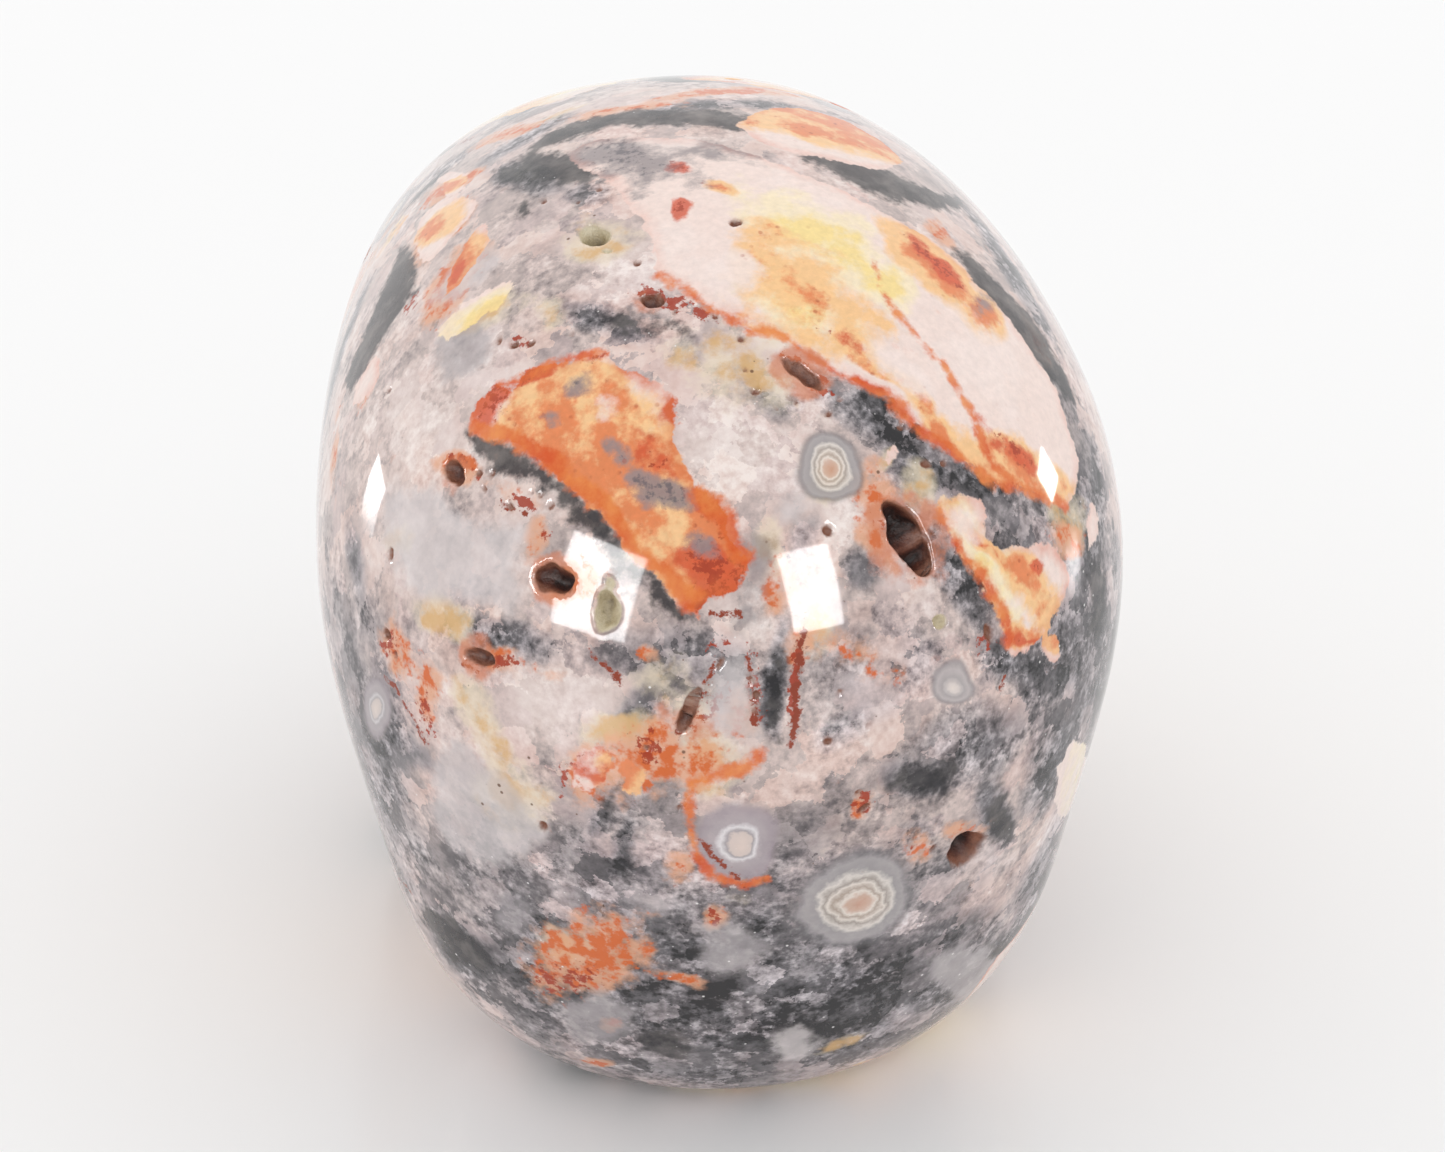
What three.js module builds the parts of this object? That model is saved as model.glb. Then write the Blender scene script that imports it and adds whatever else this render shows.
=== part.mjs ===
// A human skull, about two inches long, carved and polished from one piece of crazy lace agate.
// Millimetres, +Z up. The face looks towards -Y, the back of the head towards +Y, and the
// carving rests on a flat ground across its underside at z = 0.
//
// The carved form is one distance field: rounded masses joined and hollows carved with soft
// fillets, as a polishing wheel leaves them. Rays from a point inside the head meet that
// field once each, so a sphere of rays, refined where the form is fine, gives one closed solid.

import * as THREE from "three";

// The masses of the head: where each ellipsoid is centred and its three radii.
const BACK_OF_HEAD = { centre: [0, 9.3, 24.3], radii: [17.2, 17.4, 14.9] };
const FOREHEAD = { centre: [0, -11.9, 24.5], radii: [12.0, 12.6, 12.7] };
const NAPE = { centre: [0, 9.7, 8.2], radii: [13.6, 10.1, 10.5] };
const CROWN = { centre: [0, 1.4, 25.3], radii: [15.6, 18.6, 16.0] };
const FOREHEAD_MIDDLE = 0.8; // the forehead is carved a little off the middle line
const FOREHEAD_FLATNESS = 3.4; // and its front is a little flatter than an ellipsoid's
const FOREHEAD_FILLET = 10.5;
const NAPE_FILLET = 14;
const CROWN_FILLET = 8;

// The masses of the face.
const FACE_BLOCK = { centre: [0, -14.4, 13.0], radii: [11.4, 9.6, 12.6] };
const PALATE_BLOCK = { centre: [0, -7.0, 4.0], radii: [12.4, 15.2, 13.0] };
const UPPER_JAW = { centre: [0, -18.4, 9.4], radii: [7.8, 6.2, 5.0] };
const CHIN = { centre: [0, -22.9, 2.2], radii: [4.0, 2.5, 2.4] };

// The hollows beside the eye and under the cheekbone, on the +X side and mirrored.
const TEMPLE = { centre: [17.2, -11.6, 21.4], radii: [4.4, 7.6, 5.4], yaw: -12 };
const CHEEK = { centre: [16.2, -11.4, 8.7], radii: [4.9, 5.6, 4.3] };

// Round bars along smooth curves through these points, on the +X side and mirrored.
const BROW = {
  points: [
    [0.8, -22.9, 24.4],
    [4.6, -23.2, 25.8],
    [9.0, -21.7, 25.9],
    [12.6, -18.0, 23.4],
    [12.7, -17.7, 19.4],
    [11.4, -18.9, 15.2],
  ],
  radii: [1.5, 1.9, 1.9, 1.7, 1.6, 1.8],
};
const CHEEKBONE = {
  points: [
    [9.0, -20.3, 13.6],
    [12.3, -18.1, 14.2],
    [15.0, -12.4, 14.9],
    [16.2, -6.0, 15.9],
    [15.4, 1.3, 17.2],
  ],
  radii: [2.1, 2.4, 1.8, 1.5, 1.5],
};
const LOWER_JAW = {
  points: [
    [0, -22.2, 2.3],
    [5.4, -21.0, 2.4],
    [10.5, -13.8, 2.8],
    [13.3, -6.0, 4.2],
    [14.1, -3.0, 12.6],
  ],
  radii: [2.5, 2.5, 2.3, 2.6, 2.1],
};
const GROOVE_BEHIND_JAW = {
  points: [
    [16.0, 0.9, 0.5],
    [17.0, 1.3, 6.0],
    [18.4, 1.2, 12.0],
  ],
  radii: [2.2, 2.2, 1.7],
};
const NOSE_BRIDGE = {
  points: [
    [0, -23.1, 23.4],
    [0, -25.1, 18.6],
  ],
  radii: [1.5, 1.35],
};
const NOSE_PARTITION = {
  points: [
    [0, -21.8, 11.4],
    [0, -21.6, 16.4],
  ],
  radii: [0.5, 0.35],
};

// Eye sockets: rounded squares, turned to the side and tilted down at their outer corners.
const EYE_SOCKET = { centre: [6.95, -24.0, 19.7], radii: [4.95, 6.9, 4.6], yaw: -16, roll: 12 };
const EYE_SOCKET_SQUARENESS = 2.5;
// The nose opening is a pear: two hollows side by side below one that is narrower.
const NOSTRIL = { centre: [1.5, -24.4, 12.9], radii: [1.7, 3.9, 2.0] };
const NOSE_TOP = { centre: [0.3, -24.6, 15.7], radii: [1.65, 3.9, 3.2] };

// Two rows of upright round teeth on elliptical arcs, the same on each side of the middle.
const UPPER_TEETH = { across: 7.6, forward: 6.3, middleY: -18.4, fromZ: 7.2, toZ: 9.0, radius: 0.98 };
const LOWER_TEETH = { across: 7.0, forward: 5.9, middleY: -18.5, fromZ: 4.2, toZ: 5.25, radius: 0.88 };
const TEETH_PER_SIDE = 5;
const TOOTH_SPACING = 1.94; // tooth middles stand this many radii apart
const TOOTH_ARC_STEPS = 400;

// Open pits in the stone. Each is seen from INSIDE in a direction: azimuth from +Y towards +X and
// elevation, in degrees. Its long side is turned up from level by turn degrees.
const PITS = [
  { name: "long vug", azimuth: -15.3, elevation: 29.7, long: 3.6, wide: 1.4, deep: 1.5, turn: -70 },
  { name: "round vug", azimuth: -22.3, elevation: -5.7, long: 2.6, wide: 1.7, deep: 1.0, turn: -63 },
  { name: "rust vug", azimuth: 21.7, elevation: 26.9, long: 1.9, wide: 1.2, deep: 0.8, turn: -3 },
  { name: "cornered vug", azimuth: 33.3, elevation: 64.2, long: 1.7, wide: 1.1, deep: 0.7, turn: -22 },
  { name: "crescent pit", azimuth: 37.6, elevation: 35.0, long: 1.4, wide: 0.8, deep: 0.5, turn: -28 },
  { name: "oval pit", azimuth: 15.3, elevation: 55.5, long: 1.1, wide: 0.7, deep: 0.5, turn: -14 },
  { name: "beige hollow", azimuth: 16.0, elevation: 24.6, long: 1.8, wide: 1.1, deep: 0.6, turn: -89 },
  { name: "red hollow", azimuth: 29.5, elevation: 18.2, long: 1.7, wide: 0.7, deep: 0.5, turn: 3 },
  { name: "red strip", azimuth: -7.0, elevation: 46.6, long: 2.2, wide: 0.7, deep: 0.4, turn: -49 },
  { name: "chain pit", azimuth: 7.8, elevation: 15.8, long: 2.3, wide: 0.6, deep: 0.5, turn: 68 },
  { name: "front vug", azimuth: 152, elevation: 41, long: 2.2, wide: 1.2, deep: 0.8, turn: 35 },
  { name: "temple vug", azimuth: -118, elevation: 38, long: 1.8, wide: 1.1, deep: 0.7, turn: -50 },
];
const PIT_FILLET = 0.3;

// Widths of the soft fillets where masses meet and where hollows break the surface.
const FACE_FILLET = 4;
const PALATE_FILLET = 3;
const TEMPLE_FILLET = 4;
const CHEEK_FILLET = 3;
const BAR_FILLET = 2.4;
const JAW_FILLET = 2;
const CHIN_FILLET = 1.8;
const SOCKET_FILLET = 0.9;
const NOSE_FILLET = 0.7;
const TOOTH_FILLET = 0.4;
const BASE_FILLET = 1.6;

// The carved face lies in front of and below these, and the teeth lie in this box.
const FACE_ENDS = { y: 10, z: 31 };
const TEETH_BOX = { halfWidth: 9, frontOfY: -17.5, fromZ: 2.8, toZ: 17.5 };

// Every ray starts here, inside the head, and the head lies within REACH of it.
const INSIDE = [0, 1, 19];
const REACH = 46;
// A walk along a ray takes this share of the distance that the field gives, in steps within these.
const WALK_SHARE = 0.8;
const LONGEST_STEP_IN = 4;
const LONGEST_STEP_BACK = 1;
const MOST_STEPS = 80;
const ON_SURFACE = 0.001; // near enough to the surface, in millimetres
const SLOPE_STEP = 0.02; // how far apart the field is asked for its slope
const LONGEST_SETTLING = 0.6;
const MOST_SETTLINGS = 6;

// The length of a triangle's side, by region.
const EDGE_ON_HEAD = 3.8;
const EDGE_ON_FACE = 1.9;
const EDGE_ON_TEETH = 0.9;
const EDGE_AT_PIT = 0.78;
const FINE_ROUND_PIT = 0.3; // the fine triangles go on this far beyond a pit's end
const COARSER_OVER = 4; // and grow to the head's own over this distance
const FACE_TO_HEAD = { fromY: -8, overY: 10, fromZ: 27, overZ: 4 };
const FIRST_SPLITS = 3;
const REFINING_ROUNDS = 7;
const RELAXING_ROUNDS = 4;
const SLIDE = 0.6; // the share of the way to its neighbours' middle that a vertex slides
const THIN_MARGIN = 0.01; // radians past half a turn at which two triangles are too thin
const FLAT_ENOUGH = 0.5; // the cosine between two triangles that may be turned

const toRadians = THREE.MathUtils.degToRad;

const subtract = (a, b) => [a[0] - b[0], a[1] - b[1], a[2] - b[2]];
const dot = (a, b) => a[0] * b[0] + a[1] * b[1] + a[2] * b[2];
const along = (origin, direction, distance) => origin.map((value, i) => value + direction[i] * distance);
const unit = (a) => a.map((value) => value / Math.hypot(...a));
const cross = (a, b) => [a[1] * b[2] - a[2] * b[1], a[2] * b[0] - a[0] * b[2], a[0] * b[1] - a[1] * b[0]];
const mix = (a, b, t) => a + (b - a) * t;

// Joins two distances with a fillet of the given width.
function join(a, b, fillet) {
  const h = Math.max(fillet - Math.abs(a - b), 0) / fillet;
  return Math.min(a, b) - (h * h * fillet) / 4;
}

// What is left of a when b is carved away, with a softened edge.
const carve = (a, b, fillet) => -join(-a, b, fillet);

// Distance to an ellipsoid, exact at its surface.
function ellipsoid(point, { centre, radii }) {
  const x = (point[0] - centre[0]) / radii[0];
  const y = (point[1] - centre[1]) / radii[1];
  const z = (point[2] - centre[2]) / radii[2];
  const k0 = Math.hypot(x, y, z) + 1e-9;
  const k1 = Math.hypot(x / radii[0], y / radii[1], z / radii[2]) + 1e-9;
  return (k0 * (k0 - 1)) / k1;
}

// Distance to a round bar between two points whose radius changes evenly.
function capsule(point, start, end, startRadius, endRadius) {
  const axis = subtract(end, start);
  const offset = subtract(point, start);
  const t = THREE.MathUtils.clamp(dot(offset, axis) / dot(axis, axis), 0, 1);
  const x = offset[0] - axis[0] * t;
  const y = offset[1] - axis[1] * t;
  const z = offset[2] - axis[2] * t;
  return Math.hypot(x, y, z) - mix(startRadius, endRadius, t);
}

// Short straight bars that follow a smooth curve through a bar's points.
function barSegments({ points, radii }, stepsPerSpan = 3) {
  const curve = new THREE.CatmullRomCurve3(
    points.map((p) => new THREE.Vector3(...p)),
    false,
    "catmullrom",
    0.5
  );
  const steps = points.length > 2 ? (points.length - 1) * stepsPerSpan : 1;
  const samples = Array.from({ length: steps + 1 }, (_, i) => {
    const span = Math.min(Math.floor((i / steps) * (points.length - 1)), points.length - 2);
    const within = (i / steps) * (points.length - 1) - span;
    return { at: curve.getPoint(i / steps).toArray(), radius: mix(radii[span], radii[span + 1], within) };
  });
  return samples.slice(1).map((end, i) => ({ start: samples[i], end }));
}

// Distance to a whole bar made of such segments.
function bar(point, segments) {
  let nearest = Infinity;
  for (const { start, end } of segments) {
    nearest = Math.min(nearest, capsule(point, start.at, end.at, start.radius, end.radius));
  }
  return nearest;
}

// A point in the frame of a feature that is rolled about Y, then turned about Z.
function inFrame(point, { centre, yaw = 0, roll = 0 }) {
  const [x, y, z] = subtract(point, centre);
  const rolledX = x * Math.cos(toRadians(roll)) + z * Math.sin(toRadians(roll));
  const rolledZ = -x * Math.sin(toRadians(roll)) + z * Math.cos(toRadians(roll));
  return [
    rolledX * Math.cos(toRadians(yaw)) + y * Math.sin(toRadians(yaw)),
    -rolledX * Math.sin(toRadians(yaw)) + y * Math.cos(toRadians(yaw)),
    rolledZ,
  ];
}

// The middles of one side's teeth, spaced evenly along their arc.
function toothPlaces({ across, forward, middleY, radius }) {
  const onArc = (i) => {
    const angle = (i / TOOTH_ARC_STEPS) * (Math.PI / 2);
    return [across * Math.sin(angle), middleY - forward * Math.cos(angle)];
  };
  const places = [];
  let travelled = 0;
  for (let i = 1; i <= TOOTH_ARC_STEPS && places.length < TEETH_PER_SIDE; i += 1) {
    const [x, y] = onArc(i);
    const [lastX, lastY] = onArc(i - 1);
    travelled += Math.hypot(x - lastX, y - lastY);
    if (travelled >= (places.length + 0.5) * TOOTH_SPACING * radius) {
      places.push([x, y]);
    }
  }
  return places;
}

const toothRow = (row) =>
  toothPlaces(row).map(([x, y]) => ({
    start: { at: [x, y, row.fromZ], radius: row.radius },
    end: { at: [x, y, row.toZ], radius: row.radius },
  }));

const brow = barSegments(BROW);
const cheekbone = barSegments(CHEEKBONE);
const lowerJaw = barSegments(LOWER_JAW);
const grooveBehindJaw = barSegments(GROOVE_BEHIND_JAW);
const noseBridge = barSegments(NOSE_BRIDGE);
const nosePartition = barSegments(NOSE_PARTITION);
const teeth = [...toothRow(UPPER_TEETH), ...toothRow(LOWER_TEETH)];

// The smooth braincase: back of the head, forehead, nape and crown.
function braincase(point) {
  const offMiddle = point[0] - FOREHEAD_MIDDLE;
  const flattened = Math.hypot(offMiddle, FOREHEAD_FLATNESS) - FOREHEAD_FLATNESS;
  let d = ellipsoid(point, BACK_OF_HEAD);
  d = join(d, ellipsoid([flattened, point[1], point[2]], FOREHEAD), FOREHEAD_FILLET);
  d = join(d, ellipsoid(point, NAPE), NAPE_FILLET);
  return join(d, ellipsoid(point, CROWN), CROWN_FILLET);
}

// The eye sockets' rounded square, as a distance.
function eyeSocket(point) {
  const local = inFrame(point, EYE_SOCKET);
  const n = EYE_SOCKET_SQUARENESS;
  const sum = local.reduce((total, value, i) => total + Math.abs(value / EYE_SOCKET.radii[i]) ** n, 0);
  return (sum ** (1 / n) - 1) * EYE_SOCKET.radii[2];
}

// Adds the carved face to the braincase's distance d. The point is already mirrored to +X.
function face(point, d) {
  const temple = { centre: [0, 0, 0], radii: TEMPLE.radii };
  d = join(d, ellipsoid(point, FACE_BLOCK), FACE_FILLET);
  d = join(d, ellipsoid(point, PALATE_BLOCK), PALATE_FILLET);
  d = carve(d, ellipsoid(inFrame(point, TEMPLE), temple), TEMPLE_FILLET);
  d = carve(d, ellipsoid(point, CHEEK), CHEEK_FILLET);
  d = join(d, bar(point, brow), BAR_FILLET);
  d = join(d, bar(point, cheekbone), BAR_FILLET);
  d = join(d, ellipsoid(point, UPPER_JAW), JAW_FILLET);
  d = join(d, bar(point, lowerJaw), JAW_FILLET);
  d = join(d, ellipsoid(point, CHIN), CHIN_FILLET);
  d = carve(d, bar(point, grooveBehindJaw), BAR_FILLET);
  d = join(d, bar(point, noseBridge), JAW_FILLET);
  d = carve(d, eyeSocket(point), SOCKET_FILLET);
  d = carve(d, join(ellipsoid(point, NOSTRIL), ellipsoid(point, NOSE_TOP), NOSE_FILLET), NOSE_FILLET);
  d = join(d, bar(point, nosePartition), NOSE_FILLET);
  return join(d, bar(point, teeth), TOOTH_FILLET);
}

// The whole carving without its pits: negative inside the stone.
function carving(point) {
  const isNearFace = point[1] < FACE_ENDS.y && point[2] < FACE_ENDS.z;
  const mirrored = [Math.abs(point[0]), point[1], point[2]];
  const d = isNearFace ? face(mirrored, braincase(point)) : braincase(point);
  return carve(d, point[2], BASE_FILLET);
}

// How far the field's surface lies along a ray from INSIDE, walking in from REACH.
function reach(field, direction) {
  let distance = REACH;
  for (let step = 0; step < MOST_STEPS; step += 1) {
    const gap = field(along(INSIDE, direction, distance));
    distance -= THREE.MathUtils.clamp(gap * WALK_SHARE, -LONGEST_STEP_BACK, LONGEST_STEP_IN);
    if (Math.abs(gap) < ON_SURFACE) {
      break;
    }
  }
  return distance;
}

// A pit's place on the surface and the directions of its long, short and deep sides.
function placePit(pit) {
  const azimuth = toRadians(pit.azimuth);
  const elevation = toRadians(pit.elevation);
  const turn = toRadians(pit.turn);
  const outward = [
    Math.sin(azimuth) * Math.cos(elevation),
    Math.cos(azimuth) * Math.cos(elevation),
    Math.sin(elevation),
  ];
  const level = unit(cross([0, 0, 1], outward));
  const upward = cross(outward, level);
  const longSide = level.map((value, i) => value * Math.cos(turn) + upward[i] * Math.sin(turn));
  return {
    at: along(INSIDE, outward, reach(carving, outward)),
    sides: [longSide, cross(outward, longSide), outward],
    radii: [pit.long / 2, pit.wide / 2, pit.deep],
  };
}

const pits = PITS.map(placePit);

// Distance to a pit's hollow.
function hollow(point, pit) {
  const offset = subtract(point, pit.at);
  const local = pit.sides.map((side) => dot(offset, side));
  return ellipsoid(local, { centre: [0, 0, 0], radii: pit.radii });
}

// The whole carving with its pits.
function stone(point) {
  let d = carving(point);
  for (const pit of pits) {
    if (Math.hypot(...subtract(point, pit.at)) < 2 * pit.radii[0] + 1) {
      d = carve(d, hollow(point, pit), PIT_FILLET);
    }
  }
  return d;
}

// The wanted side length of a triangle at a point of the surface.
function edgeLength(point) {
  const behindFace = (point[1] - FACE_TO_HEAD.fromY) / FACE_TO_HEAD.overY;
  const aboveFace = (point[2] - FACE_TO_HEAD.fromZ) / FACE_TO_HEAD.overZ;
  const ontoHead = THREE.MathUtils.clamp(Math.max(behindFace, aboveFace), 0, 1);
  let edge = mix(EDGE_ON_FACE, EDGE_ON_HEAD, ontoHead);
  const isAtFront = point[1] < TEETH_BOX.frontOfY && Math.abs(point[0]) < TEETH_BOX.halfWidth;
  if (isAtFront && point[2] > TEETH_BOX.fromZ && point[2] < TEETH_BOX.toZ) {
    edge = EDGE_ON_TEETH;
  }
  for (const pit of pits) {
    const away = Math.hypot(...subtract(point, pit.at)) - pit.radii[0];
    const ontoPlain = THREE.MathUtils.clamp((away - FINE_ROUND_PIT) / COARSER_OVER, 0, 1);
    edge = Math.min(edge, mix(EDGE_AT_PIT, EDGE_ON_HEAD, ontoPlain));
  }
  return edge;
}

const edgeKey = (a, b) => (a < b ? `${a}_${b}` : `${b}_${a}`);

// Splits every edge that isSplit names, and gives the new triangles. Each new vertex is asked of
// addMiddle, which gets the two ends.
function splitEdges(triangles, isSplit, addMiddle) {
  const middles = new Map();
  const middle = (a, b) => {
    const key = edgeKey(a, b);
    if (!middles.has(key)) {
      middles.set(key, isSplit(a, b) ? addMiddle(a, b) : -1);
    }
    return middles.get(key);
  };
  const result = [];
  for (const [a, b, c] of triangles) {
    const ab = middle(a, b);
    const bc = middle(b, c);
    const ca = middle(c, a);
    result.push(...splitTriangle([a, b, c], [ab, bc, ca]));
  }
  return result;
}

// The triangles that one triangle becomes. A middle of -1 is an edge that stays whole.
function splitTriangle(corners, middles) {
  const count = middles.filter((m) => m >= 0).length;
  if (count === 0) {
    return [corners];
  }
  const isStart = (k) => (count === 2 ? middles[(k + 2) % 3] < 0 : middles[k] >= 0);
  const k = [0, 1, 2].find(isStart);
  const [a, b, c] = [corners[k], corners[(k + 1) % 3], corners[(k + 2) % 3]];
  const [ab, bc, ca] = [middles[k], middles[(k + 1) % 3], middles[(k + 2) % 3]];
  if (count === 1) {
    return [
      [a, ab, c],
      [ab, b, c],
    ];
  }
  if (count === 2) {
    return [
      [ab, b, bc],
      [a, ab, bc],
      [a, bc, c],
    ];
  }
  return [
    [a, ab, ca],
    [ab, b, bc],
    [ca, bc, c],
    [ab, bc, ca],
  ];
}

// A sphere of rays from an icosahedron, with its triangles.
function firstRays() {
  const g = (1 + Math.sqrt(5)) / 2;
  const corners = [
    [-1, g, 0], [1, g, 0], [-1, -g, 0], [1, -g, 0],
    [0, -1, g], [0, 1, g], [0, -1, -g], [0, 1, -g],
    [g, 0, -1], [g, 0, 1], [-g, 0, -1], [-g, 0, 1],
  ];
  let triangles = [
    [0, 11, 5], [0, 5, 1], [0, 1, 7], [0, 7, 10], [0, 10, 11],
    [1, 5, 9], [5, 11, 4], [11, 10, 2], [10, 7, 6], [7, 1, 8],
    [3, 9, 4], [3, 4, 2], [3, 2, 6], [3, 6, 8], [3, 8, 9],
    [4, 9, 5], [2, 4, 11], [6, 2, 10], [8, 6, 7], [9, 8, 1],
  ];
  const rays = corners.map(unit);
  const addMiddle = (a, b) => rays.push(unit(rays[a].map((value, i) => value + rays[b][i]))) - 1;
  for (let round = 0; round < FIRST_SPLITS; round += 1) {
    triangles = splitEdges(triangles, () => true, addMiddle);
  }
  return { rays, triangles };
}

// The outward direction of the stone's surface near a point.
function outwardAt(point) {
  const corners = [[1, 1, 1], [1, -1, -1], [-1, 1, -1], [-1, -1, 1]];
  const sum = [0, 0, 0];
  for (const corner of corners) {
    const value = stone(along(point, corner, SLOPE_STEP));
    corner.forEach((sign, i) => {
      sum[i] += sign * value;
    });
  }
  return unit(sum);
}

// The nearest point of the stone's surface, in a few steps down the field.
function ontoSurface(point) {
  let place = point;
  for (let step = 0; step < MOST_SETTLINGS; step += 1) {
    const gap = stone(place);
    if (Math.abs(gap) < ON_SURFACE) {
      break;
    }
    place = along(place, outwardAt(place), -THREE.MathUtils.clamp(gap, -LONGEST_SETTLING, LONGEST_SETTLING));
  }
  return place;
}

// Turns the shared side of two triangles wherever the other diagonal makes fatter triangles.
function flipEdges(points, triangles) {
  const across = new Map();
  triangles.forEach(([a, b, c], index) => {
    across.set(`${a}_${b}`, [index, c]);
    across.set(`${b}_${c}`, [index, a]);
    across.set(`${c}_${a}`, [index, b]);
  });
  const turned = new Set();
  const angle = (at, from, to) => {
    const u = unit(subtract(points[from], points[at]));
    const v = unit(subtract(points[to], points[at]));
    return Math.acos(THREE.MathUtils.clamp(dot(u, v), -1, 1));
  };
  const facing = (a, b, c) => unit(cross(subtract(points[b], points[a]), subtract(points[c], points[a])));
  for (const [key, [first, c]] of [...across]) {
    const [a, b] = key.split("_").map(Number);
    const [second, d] = across.get(`${b}_${a}`);
    const isFree = a < b && !turned.has(first) && !turned.has(second);
    const isJoined = across.has(`${c}_${d}`) || across.has(`${d}_${c}`);
    if (!isFree || isJoined) {
      continue;
    }
    const isThin = angle(c, a, b) + angle(d, a, b) > Math.PI + THIN_MARGIN;
    const wasFlat = dot(facing(a, b, c), facing(b, a, d)) > FLAT_ENOUGH;
    const staysFlat = dot(facing(a, d, c), facing(d, b, c)) > FLAT_ENOUGH;
    if (isThin && wasFlat && staysFlat) {
      triangles[first] = [a, d, c];
      triangles[second] = [d, b, c];
      across.set(`${c}_${d}`, [first, a]);
      across.set(`${d}_${c}`, [second, b]);
      turned.add(first).add(second);
    }
  }
}

// Slides each vertex along the surface towards the middle of its neighbours, so that the
// triangles even out, and puts it back on the surface.
function relax(points, triangles) {
  const neighbours = points.map(() => new Set());
  for (const [a, b, c] of triangles) {
    neighbours[a].add(b).add(c);
    neighbours[b].add(a).add(c);
    neighbours[c].add(a).add(b);
  }
  return points.map((point, index) => {
    const around = [...neighbours[index]].map((other) => points[other]);
    const middle = [0, 1, 2].map((i) => around.reduce((total, p) => total + p[i], 0) / around.length);
    const outward = outwardAt(point);
    const pull = subtract(middle, point);
    const slide = along(pull, outward, -dot(pull, outward));
    return ontoSurface(along(point, slide, SLIDE));
  });
}

// The carved stone as one closed mesh: a coarse sphere of rays, then rounds that split its long
// sides and even out its triangles.
function carvedGeometry() {
  let { rays, triangles } = firstRays();
  let points = rays.map((ray) => along(INSIDE, ray, reach(stone, ray)));
  const isTooLong = (a, b) => {
    const middle = points[a].map((value, i) => (value + points[b][i]) / 2);
    return Math.hypot(...subtract(points[a], points[b])) > edgeLength(middle);
  };
  const addMiddle = (a, b) => {
    const middle = points[a].map((value, i) => (value + points[b][i]) / 2);
    return points.push(ontoSurface(middle)) - 1;
  };
  for (let round = 0; round < REFINING_ROUNDS + RELAXING_ROUNDS; round += 1) {
    if (round < REFINING_ROUNDS) {
      triangles = splitEdges(triangles, isTooLong, addMiddle);
    }
    flipEdges(points, triangles);
    points = relax(points, triangles);
    flipEdges(points, triangles);
  }
  const geometry = new THREE.BufferGeometry();
  geometry.setAttribute("position", new THREE.Float32BufferAttribute(points.flat(), 3));
  geometry.setIndex(triangles.flat());
  geometry.computeVertexNormals();
  geometry.computeBoundingBox();
  return geometry;
}

const polishedAgate = new THREE.MeshStandardMaterial({
  name: "polished crazy lace agate",
  color: 0xb5aba8,
  roughness: 0.12,
  metalness: 0,
});

const skull = new THREE.Mesh(carvedGeometry(), polishedAgate);
skull.name = "skull";
// The origin is below the middle of the whole carving, on the surface that it rests on.
const middle = skull.geometry.boundingBox.getCenter(new THREE.Vector3());
skull.position.set(-middle.x, -middle.y, -skull.geometry.boundingBox.min.z);

const carvedSkull = new THREE.Group();
carvedSkull.add(skull);

export default carvedSkull;
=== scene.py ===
"""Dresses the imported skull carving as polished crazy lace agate, and lights it for its portrait.

The skull's shape is one distance field in millimetres, built from the same named masses and
hollows as the solid. A sphere of rays finds its surface, which is split and evened out until it
shows the teeth and the pits. The stone's marks are worked out at each vertex: those on the back of
the head from outlines traced on the photograph, and the others from seeded random shapes in the
stone. The material draws their crisp, grainy edges between the vertices.
"""

from __future__ import annotations

import logging
import math
from collections.abc import Callable
from dataclasses import dataclass, field
from enum import Enum
from itertools import product
from typing import Any

import bpy
import numpy as np
import numpy.typing as npt
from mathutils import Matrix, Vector

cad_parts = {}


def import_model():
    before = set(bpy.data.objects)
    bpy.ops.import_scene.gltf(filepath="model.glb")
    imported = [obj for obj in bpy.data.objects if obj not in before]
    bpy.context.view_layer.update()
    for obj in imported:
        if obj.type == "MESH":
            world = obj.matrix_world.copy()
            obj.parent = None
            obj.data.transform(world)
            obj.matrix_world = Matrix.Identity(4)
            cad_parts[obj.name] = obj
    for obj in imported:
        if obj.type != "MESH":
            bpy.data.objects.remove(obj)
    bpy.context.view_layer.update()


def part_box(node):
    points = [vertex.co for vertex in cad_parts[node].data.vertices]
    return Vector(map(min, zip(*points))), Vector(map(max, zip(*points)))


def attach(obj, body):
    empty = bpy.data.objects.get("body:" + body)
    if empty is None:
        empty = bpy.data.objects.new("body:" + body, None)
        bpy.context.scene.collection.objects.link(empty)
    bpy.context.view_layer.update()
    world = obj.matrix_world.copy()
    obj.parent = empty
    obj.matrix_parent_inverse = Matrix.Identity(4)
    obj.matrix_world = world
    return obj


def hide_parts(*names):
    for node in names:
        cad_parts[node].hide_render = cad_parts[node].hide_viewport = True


FloatArray = npt.NDArray[np.float64]
IntArray = npt.NDArray[np.int64]
Triple = tuple[float, float, float]
Pixel = tuple[float, float]
Field = Callable[[FloatArray], FloatArray]

log = logging.getLogger("skull")

MM = 0.001  # metres in a millimetre
PHOTO_WIDTH = 1445
PHOTO_HEIGHT = 1152
SENSOR_WIDTH = 36.0
# The Mix node's colour sockets, which share their names with its other sockets.
MIX_A = 6
MIX_B = 7
MIX_RESULT = 2


def length(vectors: FloatArray) -> FloatArray:
    """Lengths of the vectors along the last axis."""
    return np.sqrt(np.einsum("...i,...i->...", vectors, vectors))


def unit(vectors: FloatArray) -> FloatArray:
    """The vectors along the last axis, each one long."""
    return vectors / (length(vectors)[..., None] + 1e-12)


def smooth_step(values: FloatArray, low: float, high: float) -> FloatArray:
    """Rises smoothly from 0 at low to 1 at high."""
    t = np.clip((values - low) / (high - low), 0.0, 1.0)
    return t * t * (3.0 - 2.0 * t)


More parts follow.
